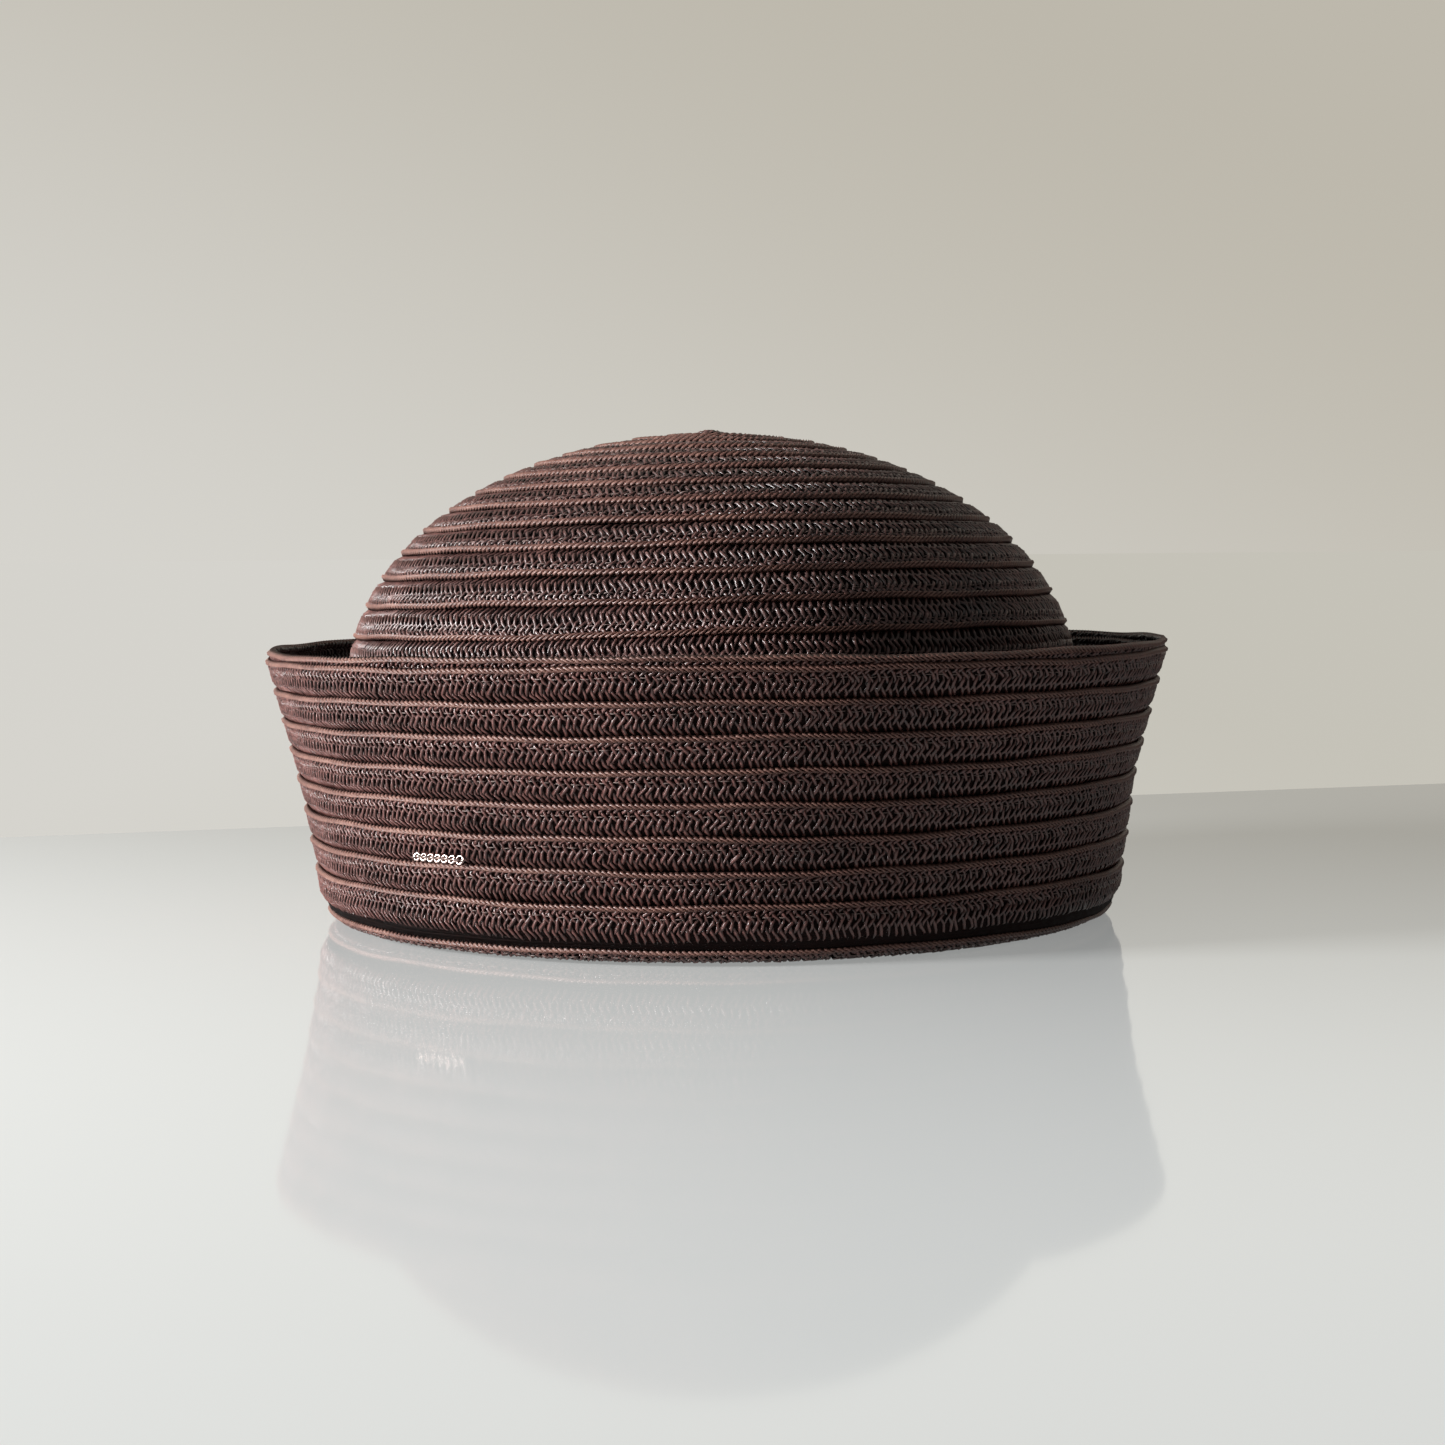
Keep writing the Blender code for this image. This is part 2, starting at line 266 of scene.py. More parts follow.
@dataclass(frozen=True)
class RibbonFinish:
    """Woven ribbed ribbon: matt dark yarn, paler in some threads than in others."""

    name: str = "ribbed_ribbon"
    dark: str = "#2b2220"
    light: str = "#43363a"
    grain_mm: float = 0.7  # coarser than the real threads, so that it shows
    stops: tuple[float, float] = (0.3, 0.7)  # where dark and light stand
    bump_mm: float = 0.1
    bump_strength: float = 0.3
    roughness: float = 0.7
    ior: float = 1.5

    def material(self) -> bpy.types.Material:
        """Makes the material, with a fine uneven grain.

        Returns:
            The material.
        """
        made, tree, shader = new_material(self.name)
        place = add_node(tree, "ShaderNodeTexCoord").outputs["Object"]
        grain = add_noise(tree, place, self.grain_mm, 3.0)
        ramp = add_node(tree, "ShaderNodeValToRGB", {}, {"Fac": grain})
        set_ramp(ramp.color_ramp, list(zip(self.stops, [linear(self.dark), linear(self.light)])))
        tree.links.new(ramp.outputs["Color"], shader.inputs["Base Color"])
        bump = add_node(
            tree,
            "ShaderNodeBump",
            {},
            {"Height": grain, "Strength": self.bump_strength, "Distance": self.bump_mm * MM},
        )
        tree.links.new(bump.outputs["Normal"], shader.inputs["Normal"])
        shader.inputs["Roughness"].default_value = self.roughness
        shader.inputs["IOR"].default_value = self.ior
        return made


@dataclass(frozen=True)
class MetalFinish:
    """Plated trim metal with a pale rose tint: bright, a little worn and clouded."""

    name: str = "rose_plated_metal"
    bright: str = "#e6d3cc"
    worn: str = "#b79f98"
    cloud_mm: float = 0.6
    stops: tuple[float, float] = (0.35, 0.6)  # where worn and bright stand
    worn_roughness: float = 0.36
    bright_roughness: float = 0.2

    def material(self) -> bpy.types.Material:
        """Makes the material, with small clouds of wear in its colour and gloss.

        Returns:
            The material.
        """
        made, tree, shader = new_material(self.name)
        place = add_node(tree, "ShaderNodeTexCoord").outputs["Object"]
        cloud = add_noise(tree, place, self.cloud_mm, 2.0)
        ramp = add_node(tree, "ShaderNodeValToRGB", {}, {"Fac": cloud})
        set_ramp(ramp.color_ramp, list(zip(self.stops, [linear(self.worn), linear(self.bright)])))
        tree.links.new(ramp.outputs["Color"], shader.inputs["Base Color"])
        gloss = add_node(
            tree,
            "ShaderNodeMapRange",
            {},
            {"Value": cloud, "To Min": self.worn_roughness, "To Max": self.bright_roughness},
        )
        tree.links.new(gloss.outputs["Result"], shader.inputs["Roughness"])
        shader.inputs["Metallic"].default_value = 1.0
        return made


def smooth_rise(value: np.ndarray, start: float = 0.0, end: float = 1.0) -> np.ndarray:
    """An even rise from 0 to 1 while values run from a start to an end.

    Args:
        value: the values.
        start: up to where the rise is 0.
        end: from where it is 1. It may be lower than the start.

    Returns:
        The rise at each value.
    """
    share = np.clip((value - start) / (end - start), 0.0, 1.0)
    return share * share * (3 - 2 * share)


class Outline:
    """A line in the plane of radius and height, read by the distance along it."""

    def __init__(self, points: Sequence[tuple[float, float]], side: int) -> None:
        """Measures the line.

        Args:
            points: radius and height along the line.
            side: 1 or -1, the side of the line that is the hat's outer face.
        """
        self.points = np.array(points)
        steps = np.linalg.norm(np.diff(self.points, axis=0), axis=1)
        self.distance = np.append(0.0, np.cumsum(steps))
        self.length = float(self.distance[-1])
        run = np.gradient(self.points, self.distance, axis=0)
        self.along = run / np.linalg.norm(run, axis=1, keepdims=True)
        self.out = side * np.stack([-self.along[:, 1], self.along[:, 0]], axis=1)

    def read(self, values: np.ndarray, places: np.ndarray) -> np.ndarray:
        """Reads values given at the line's points.

        Args:
            values: pairs of numbers, one pair for each point.
            places: distances along the line.

        Returns:
            The pair at each place.
        """
        return np.stack([np.interp(places, self.distance, values[:, axis]) for axis in (0, 1)], axis=-1)

    def lifted(self, places: np.ndarray, lift: np.ndarray) -> np.ndarray:
        """The radius and height at distances along the line, lifted off it to the outer side.

        Args:
            places: distances along the line, which may run straight on past its ends.
            lift: distances off it.

        Returns:
            Radius and height at each.
        """
        inside = np.clip(places, 0.0, self.length)
        past = (places - inside)[..., None] * self.read(self.along, inside)
        return self.read(self.points, inside) + past + lift[..., None] * self.read(self.out, inside)


@dataclass(frozen=True)
class HatShape:
    """The hat's driving sizes, in metres: the solids' own, and the unevenness that is only drawn."""

    oval: float = 0.92
    crown_radius: float = 95.0 * MM
    crown_shoulder: float = 58.4 * MM
    crown_top: float = 124.8 * MM
    crown_roundness: float = 2.05
    crown_foot_radius: float = 98.7 * MM
    crown_foot: float = 1.6 * MM
    crown_flare: float = 1.6
    fold_inner_radius: float = 95.35 * MM
    fold_bend: float = 4.0 * MM  # rounder than the solids' bend, with the rows at the same height
    brim_foot_radius: float = 103.0 * MM
    brim_lean: float = 0.253
    brim_lean_start: float = 15.5 * MM
    brim_lean_ease: float = 5.2 * MM
    brim_height: float = 71.0 * MM
    braid_width: float = 10.9 * MM
    braid_foot: float = 0.45 * MM  # height of the braid's middle where it lies flat
    foot_rise: float = 1.0 * MM  # by which the plait, thicker than the solid, lies above that
    layer: float = 1.3 * MM
    crown_slant: float = 1.0 * MM  # rise of a crown row over one pitch, as the plait presses flat
    crown_sway: float = 1.5 * MM  # by which rows sewn by hand lie lower on the left than in the middle
    crown_arch: float = 1.5 * MM  # by which rows lie higher in front and behind, at the rim's height
    crown_arch_top: float = 3.5 * MM  # the same near the tip
    arch_fade: float = 0.55  # share of the crown's outline along which the arch changes
    drift_from_tip: float = 3.0  # rows from the tip over which sway and arch set in
    drift_from_foot: float = 6.0  # rows over which they fade out again above the foot
    crown_lean: float = 1.2 * MM  # by which the soft dome leans to the left, above its foot
    rim_sag: float = 1.4 * MM  # by which the rim sags on the left
    sag_from: float = 0.5  # share of the brim's height above which it sags
    foot_bulge: float = 1.6 * MM  # by which the brim swells above its fold, on both sides
    foot_bulge_right: float = 0.6 * MM  # more than that on the right, and less on the left
    bulge_bends: float = 2.0  # bends of the fold over which the swelling sets in
    bulge_fade: tuple[float, float] = (2 / 3, 1 / 3)  # shares of the height where it is nothing and full
    crown_rows: int = 22
    crown_first_row: float = 6.2 * MM
    tip_hole: float = 0.8 * MM
    brim_rows: int = 8
    brim_pitch: float = 8.1 * MM
    fold_edge: float = 9.3 * MM
    fold_pitch: float = 11.3 * MM  # from the fold row to the first row of the brim
    edge_peep: float = 2.0 * MM
    step_arc: float = 2 * math.pi * 6 / 32
    dip_arc: float = 2 * math.pi * 4 / 32

    def crown_outline(self, count: int = 240) -> Outline:
        """The dome as a quarter of a rounded oval, then the side wall that flares to the foot.

        Args:
            count: points on the dome.

        Returns:
            The outline, from the tip to the foot.
        """
        power = 2 / self.crown_roundness
        rise = self.crown_top - self.crown_shoulder
        points = []
        for turn in np.linspace(0, math.pi / 2, count):
            height = self.crown_shoulder + rise * max(math.cos(turn), 0.0) ** power
            points.append((self.crown_radius * math.sin(turn) ** power, height))
        for part in np.linspace(0, 1, count // 2)[1:]:
            flare = (self.crown_foot_radius - self.crown_radius) * part**self.crown_flare
            height = self.crown_shoulder + (self.crown_foot - self.crown_shoulder) * part
            points.append((self.crown_radius + flare, height))
        return Outline(points, side=1)

    def brim_outline(self, count: int = 160) -> Outline:
        """The flat foot, the bend of the fold, then the wall that leans outwards to the rim.

        Args:
            count: points on the wall.

        Returns:
            The outline, from the foot's inner edge to the rim.
        """
        foot, bend = self.braid_foot, self.fold_bend
        middle = self.brim_foot_radius - bend
        points = [(self.fold_inner_radius, foot)]
        for turn in np.linspace(0, math.pi / 2, count // 8):
            points.append((middle + bend * math.sin(turn), foot + bend * (1 - math.cos(turn))))
        for height in np.linspace(foot + bend, self.brim_height, count)[1:]:
            above = height - self.brim_lean_start
            lean = (above + math.hypot(above, self.brim_lean_ease)) / 2
            points.append((self.brim_foot_radius + self.brim_lean * lean, height))
        return Outline(points, side=-1)

    def around(self, point: np.ndarray, turn: np.ndarray) -> np.ndarray:
        """Turns points of an outline about Z onto the oval. A whole number of turns is the back.

        Args:
            point: radius and height.
            turn: count of turns.

        Returns:
            Points in metres.
        """
        angle = turn * 2 * math.pi
        x = -point[..., 0] * np.sin(angle)
        y = self.oval * point[..., 0] * np.cos(angle)
        return np.stack([x, y, point[..., 1]], axis=-1)

    def leaning(self, height: np.ndarray) -> np.ndarray:
        """How far the soft dome leans to the left, at heights."""
        return self.crown_lean * smooth_rise(height / self.crown_shoulder)

    def step_share(self, angle: np.ndarray) -> np.ndarray:
        """How far a row has moved to the next level, at angles within its turn."""
        return smooth_rise(angle, 2 * math.pi - self.step_arc, 2 * math.pi)


@dataclass(frozen=True)
class RowSection:
    """How a sewn row bends off its own slant: it swells, rolls in at its cord and dives behind the next.

    Spans are places across the braid where a bend is nothing and where it is full.
    """

    swell: float = 0.45 * MM
    swell_low: tuple[float, float] = (-0.55, -0.15)
    swell_high: tuple[float, float] = (0.6, -0.1)
    roll: float = 0.5 * MM
    roll_span: tuple[float, float] = (0.5, 1.0)
    tuck: float = 0.5 * MM
    tuck_span: tuple[float, float] = (-0.4, -0.65)

    def lift(self, across: np.ndarray) -> np.ndarray:
        """The row's distance off its slant.

        Args:
            across: from -1 at the edge that is lapped over to 1 at the edge that shows.

        Returns:
            Distances outwards.
        """
        swollen = self.swell * smooth_rise(across, *self.swell_low) * smooth_rise(across, *self.swell_high)
        rolled = self.roll * smooth_rise(across, *self.roll_span)
        tucked = self.tuck * smooth_rise(across, *self.tuck_span)
        return swollen - rolled - tucked


class Winding:
    """A run of braid wound on the hat. Turns count from the back, and level counts rows."""

    section = RowSection()

    def __init__(self, shape: HatShape, outline: Outline, first: float, last: float) -> None:
        """Keeps the run's shape.

        Args:
            shape: the hat's sizes.
            outline: the line that the rows follow.
            first: the count of turns where the run starts.
            last: the count of turns where it ends.
        """
        self.shape = shape
        self.outline = outline
        self.first = first
        self.last = last

    def lay(self, turn: np.ndarray, across: np.ndarray, off: np.ndarray) -> np.ndarray:
        """Lays braid coordinates on the hat.

        Args:
            turn: count of turns.
            across: from -1 at the edge that is lapped over to 1 at the edge that shows.
            off: distance off the braid's middle, outwards.

        Returns:
            Points in metres.
        """
        raise NotImplementedError

    def lengths(self, per_turn: int = 240) -> tuple[np.ndarray, np.ndarray]:
        """Measures the run along its middle.

        Args:
            per_turn: how many places to measure in a turn.

        Returns:
            Counts of turns, and the length of braid up to each.
        """
        turn = np.linspace(self.first, self.last, round((self.last - self.first) * per_turn) + 1)
        zero = np.zeros_like(turn)
        steps = np.linalg.norm(np.diff(self.lay(turn, zero, zero), axis=0), axis=1)
        return turn, np.append(0.0, np.cumsum(steps))


class CrownWinding(Winding):
    """The spiral that winds down the crown from its tip."""

    def __init__(self, shape: HatShape) -> None:
        """Keeps the crown's pitch.

        Args:
            shape: the hat's sizes.
        """
        super().__init__(shape, shape.crown_outline(), -1.0, float(shape.crown_rows))
        room = self.outline.length - shape.crown_first_row - shape.braid_width / 2
        self.pitch = room / (shape.crown_rows - 1)

    def lay(self, turn: np.ndarray, across: np.ndarray, off: np.ndarray) -> np.ndarray:
        """Lays braid coordinates on the crown. The edge that shows is the lower one.

        Args:
            turn: count of turns.
            across: from -1 at the edge that is lapped over to 1 at the edge that shows.
            off: distance off the braid's middle, outwards.

        Returns:
            Points in metres.
        """
        shape = self.shape
        row = np.floor(turn)
        share = shape.step_share((turn - row) * 2 * math.pi)
        tail = row >= shape.crown_rows - 1
        level = np.where(tail, shape.crown_rows - 1, row + share)
        inwards = np.where(tail, share, 0.0)
        middle = shape.crown_first_row + self.pitch * level
        upper = np.maximum(middle - shape.braid_width / 2, shape.tip_hole)
        place = upper + (middle + shape.braid_width / 2 - upper) * (across + 1) / 2
        slant = shape.crown_slant * (place - middle) / self.pitch + self.section.lift(across)
        lift = slant - shape.layer * inwards + off
        points = shape.around(self.outline.lifted(place + self.drift(place, turn), lift), turn)
        points[..., 0] -= shape.leaning(points[..., 2])
        return points

    def drift(self, place: np.ndarray, turn: np.ndarray) -> np.ndarray:
        """How far rows sewn by hand lie below their even places, fading out at the tip and the foot.

        Args:
            place: distance from the tip, along the outline.
            turn: count of turns.

        Returns:
            Distances to add to the places.
        """
        shape = self.shape
        angle = turn * 2 * math.pi
        lower = smooth_rise(place, 0.0, shape.arch_fade * self.outline.length)
        arch = shape.crown_arch_top + (shape.crown_arch - shape.crown_arch_top) * lower
        below = shape.crown_sway * (1 + np.sin(angle)) - arch * np.cos(angle) ** 2
        tip = shape.crown_first_row
        foot = self.outline.length - self.pitch
        from_tip = smooth_rise(place, tip, tip + shape.drift_from_tip * self.pitch)
        from_foot = smooth_rise(place, foot, foot - shape.drift_from_foot * self.pitch)
        return below * from_tip * from_foot


class BrimWinding(Winding):
    """The spiral that winds up the brim from its fold."""

    def __init__(self, shape: HatShape) -> None:
        """Starts a step before the back, so that the first row laps over the end of its own turn.

        Args:
            shape: the hat's sizes.
        """
        start = -shape.step_arc / (2 * math.pi)
        super().__init__(shape, shape.brim_outline(), start, float(shape.brim_rows))

    def rise(self, turn: np.ndarray) -> tuple[np.ndarray, np.ndarray]:
        """How a row climbs: it dips behind the next one and steps up to its level.

        Args:
            turn: count of turns.

        Returns:
            The level in rows and the move inwards in layers.
        """
        shape = self.shape
        row = np.floor(turn)
        angle = (turn - row) * 2 * math.pi
        share = shape.step_share(angle)
        step_start = 2 * math.pi - shape.step_arc
        dip = smooth_rise(angle, step_start - shape.dip_arc, step_start)
        tail = row >= shape.brim_rows - 1
        level = np.where(tail, shape.brim_rows - 1, row + share)
        inwards = np.where(tail, dip, dip * (1 - share))
        return np.where(turn < 0, 0.0, level), np.where(turn < 0, 0.0, inwards)

    def lay(self, turn: np.ndarray, across: np.ndarray, off: np.ndarray) -> np.ndarray:
        """Lays braid coordinates on the brim. The edge that shows is the upper one.

        Args:
            turn: count of turns.
            across: from -1 at the edge that is lapped over to 1 at the edge that shows.
            off: distance off the braid's middle, outwards.

        Returns:
            Points in metres.
        """
        shape = self.shape
        level, inwards = self.rise(turn)
        above = np.where(level < 0, 0.0, shape.fold_pitch + shape.brim_pitch * level)
        middle = shape.fold_edge + above - shape.braid_width / 2
        place = middle + across * shape.braid_width / 2
        flat = shape.brim_foot_radius - shape.fold_bend - shape.fold_inner_radius
        tilt = smooth_rise(place, flat, flat + shape.fold_bend)
        slant = shape.layer * (place - middle) / shape.brim_pitch + self.section.lift(across)
        lift = tilt * (slant - shape.layer * inwards) - shape.foot_rise * (1 - tilt) + off
        left = np.sin(turn * 2 * math.pi)
        sag = shape.rim_sag * np.maximum(left, 0) ** 2
        upper = smooth_rise(place / shape.brim_height, shape.sag_from, 1.0)
        swell = shape.foot_bulge * left**2 - shape.foot_bulge_right * left * np.abs(left)
        lower = smooth_rise(place, flat, flat + shape.bulge_bends * shape.fold_bend)
        lower = lower * smooth_rise(place / shape.brim_height, *shape.bulge_fade)
        return shape.around(self.outline.lifted(place - sag * upper, lift + swell * lower), turn)


class LevelWinding(BrimWinding):
    """One row of the brim that stays level and meets its own start."""

    def __init__(self, shape: HatShape, level: float, inwards: float) -> None:
        """Keeps the row's place.

        Args:
            shape: the hat's sizes.
            level: its level in rows.
            inwards: its move inwards in layers.
        """
        super().__init__(shape)
        self.first = 0.0
        self.last = 1.0
        self.level = level
        self.inwards = inwards

    def rise(self, turn: np.ndarray) -> tuple[np.ndarray, np.ndarray]:
        """The same level all the way round."""
        return np.full_like(turn, self.level), np.full_like(turn, self.inwards)


@dataclass
class TubeMesh:
    """Tubes swept along paths, gathered into one mesh with a neat map for each tube."""

    sides: int = 4
    bands: int = 64  # rows of the map that the tubes' lengths are cut into
    margin: float = 0.06  # share of a band left free on both sides
    cap: float = 0.4  # radius of an end on the map, in shares of its cell

    def __post_init__(self) -> None:
        """Starts with nothing."""
        self.points: list[np.ndarray] = []
        self.crests: list[np.ndarray] = []
        self.closed: list[bool] = []

    def add(
        self,
        path: np.ndarray,
        normal: np.ndarray,
        wide: np.ndarray,
        high: np.ndarray,
        depth: np.ndarray | float = 0.0,
        closed: bool = False,
    ) -> None:
        """Sweeps an oval section along a path.

        Args:
            path: points of the middle line.
            normal: rough directions off the surface, one for each point.
            wide: half widths, across the surface.
            high: half heights, off the surface.
            depth: how deep the path lies, from 0 where it shows to 1 where it is covered, which darkens its
                colour as painted shade.
            closed: whether the path meets its own start.
        """
        if closed:
            onward = np.roll(path, -1, axis=0) - np.roll(path, 1, axis=0)
        else:
            onward = np.gradient(path, axis=0)
        onward /= np.linalg.norm(onward, axis=1, keepdims=True)
        side = np.cross(onward, normal)
        side /= np.linalg.norm(side, axis=1, keepdims=True)
        up = np.cross(side, onward)
        angle = math.pi / 2 + np.arange(self.sides) * 2 * math.pi / self.sides
        ring = (
            path[:, None, :]
            + side[:, None, :] * (wide[:, None] * np.cos(angle))[..., None]
            + up[:, None, :] * (high[:, None] * np.sin(angle))[..., None]
        )
        self.points.append(ring)
        # Painted shade: the crest falls on the flanks and where the path lies deep
        crest = (1 + np.sin(angle)) / 2 - np.reshape(depth, (-1, 1))
        self.crests.append(np.broadcast_to(np.clip(crest, 0, 1), ring.shape[:2]))
        self.closed.append(closed)

    def build(self, name: str) -> bpy.types.Object:
        """Makes the mesh object.

        Args:
            name: the piece's name.

        Returns:
            The object, at the origin.
        """
        corners, sizes, rings, start = [], [], [], 0
        turn = np.arange(self.sides)
        after = (turn + 1) % self.sides
        for tube, closed in zip(self.points, self.closed):
            count = len(tube)
            here = np.arange(count if closed else count - 1)[:, None] * self.sides + start
            there = start + (here - start + self.sides) % (count * self.sides)
            quads = np.stack([here + turn, there + turn, there + after, here + after], axis=-1)
            corners.append(quads.ravel())
            sizes.append(np.full(len(here) * self.sides, 4))
            rings.append(len(here))
            if not closed:
                last = start + (count - 1) * self.sides
                corners.append(np.concatenate([start + turn, last + turn[::-1]]))
                sizes.append(np.full(2, self.sides))
            start += count * self.sides
        corner, size = np.concatenate(corners), np.concatenate(sizes)
        places = np.concatenate([tube.reshape(-1, 3) for tube in self.points])
        mesh = bpy.data.meshes.new(name)
        mesh.vertices.add(len(places))
        mesh.vertices.foreach_set("co", places.astype(np.float32).ravel())
        mesh.loops.add(len(corner))
        mesh.loops.foreach_set("vertex_index", corner.astype(np.int32))
        mesh.polygons.add(len(size))
        mesh.polygons.foreach_set("loop_start", (np.cumsum(size) - size).astype(np.int32))
        mesh.update(calc_edges=True)
        crest = mesh.attributes.new(SHADE_ATTRIBUTE, "FLOAT", "POINT")
        crests = np.concatenate([tube.ravel() for tube in self.crests])
        crest.data.foreach_set("value", crests.astype(np.float32))
        self.map_tubes(mesh, rings)
        mesh.shade_smooth()
        made = bpy.data.objects.new(name, mesh)
        bpy.context.scene.collection.objects.link(made)
        return made

    def map_tubes(self, mesh: bpy.types.Mesh, rings: list[int]) -> None:
        """Lays each tube's faces in bands of the unit square, end to end.

        Args:
            mesh: the mesh to map.
            rings: how many rings of faces each tube has.
        """
        per_band = math.ceil((sum(rings) + 2 * len(rings)) / self.bands)
        turn = 2 * math.pi * np.arange(self.sides) / self.sides
        cap = 0.5 + self.cap * np.stack([np.cos(turn), np.sin(turn)], axis=-1)
        room = (1 - 2 * self.margin) / self.sides
        cell = np.array([1 / per_band, 1 / self.bands])
        spots, at = [], 0
        for count, closed in zip(rings, self.closed):
            ring = np.repeat(at + np.arange(count), self.sides)
            side = np.tile(np.arange(self.sides), count)
            left, low = ring % per_band, ring // per_band + self.margin + room * side
            right, high = left + 1, low + room
            square = np.stack([left, low, right, low, right, high, left, high], axis=-1)
            spots.append(square.reshape(-1, 2) * cell)
            at += count
            if not closed:
                for end in (at, at + 1):
                    spots.append((cap + np.array([end % per_band, end // per_band])) * cell)
                at += 2
        layer = mesh.uv_layers.new(name="OFBake")
        layer.uv.foreach_set("vector", np.concatenate(spots).astype(np.float32).ravel())


@dataclass(frozen=True)
class Wave:
    """A small wave along the braid, as hand-fed braid has them."""

    size: float
    length: float  # over which it turns by one radian
    skew: float = 0.0  # radians by which it is ahead at the edge that shows
    start: float = 0.0
    beat: float = 0.0  # the same length of a second wave that it is multiplied by, if any

    def at(self, along: np.ndarray, across: np.ndarray) -> np.ndarray:
        """The wave's height.

        Args:
            along: distance along the whole winding.
            across: from -1 at the edge that is lapped over to 1 at the edge that shows.

        Returns:
            Heights in metres.
        """
        wave = self.size * np.sin(along / self.length + self.skew * across + self.start)
        return wave * np.sin(along / self.beat) if self.beat else wave


@dataclass
class Stretch:
    """A stretch of a winding, measured in metres along its braid."""

    winding: Winding
    part: tuple[float, float]  # counts of turns where it starts and ends
    closed: bool = False  # whether it meets its own start
    # Small waves along the braid, across it and off it
    pulls: tuple[Wave, ...] = (Wave(0.22 * MM, 3.1 * MM, 2.2), Wave(0.2 * MM, 7.9 * MM, -3.0))
    drifts: tuple[Wave, ...] = (
        Wave(0.17 * MM, 13.3 * MM),
        Wave(0.12 * MM, 5.3 * MM, start=1.0),
        Wave(0.2 * MM, 26.9 * MM, start=2.0),
    )
    swell: Wave = Wave(0.07 * MM, 4.1 * MM, 4.0, beat=9.7 * MM)
    probe: float = 0.5 * MM  # distance off the surface at which its direction is taken

    def __post_init__(self) -> None:
        """Measures the winding."""
        self.turns, self.lengths = self.winding.lengths()
        self.first, self.last = np.interp(self.part, self.turns, self.lengths)

    def lay(self, along: np.ndarray, across: np.ndarray, off: np.ndarray) -> tuple[np.ndarray, np.ndarray]:
        """Lays braid coordinates on the hat, with the small unevenness of hand-fed braid.

        Args:
            along: distance along the whole winding.
            across: from -1 at the edge that is lapped over to 1 at the edge that shows.
            off: distance off the braid's middle.

        Returns:
            Points in metres, and directions off the surface.
        """
        pull = sum(wave.at(along, across) for wave in self.pulls)
        drift = sum(wave.at(along, across) for wave in self.drifts)
        off = off + self.swell.at(along, across)
        place = along + pull
        if self.closed:
            place = place % self.lengths[-1]
        turn = np.interp(place, self.lengths, self.turns)
        across = across + drift / (self.winding.shape.braid_width / 2)
        path = self.winding.lay(turn, across, off)
        return path, self.winding.lay(turn, across, off + self.probe) - path


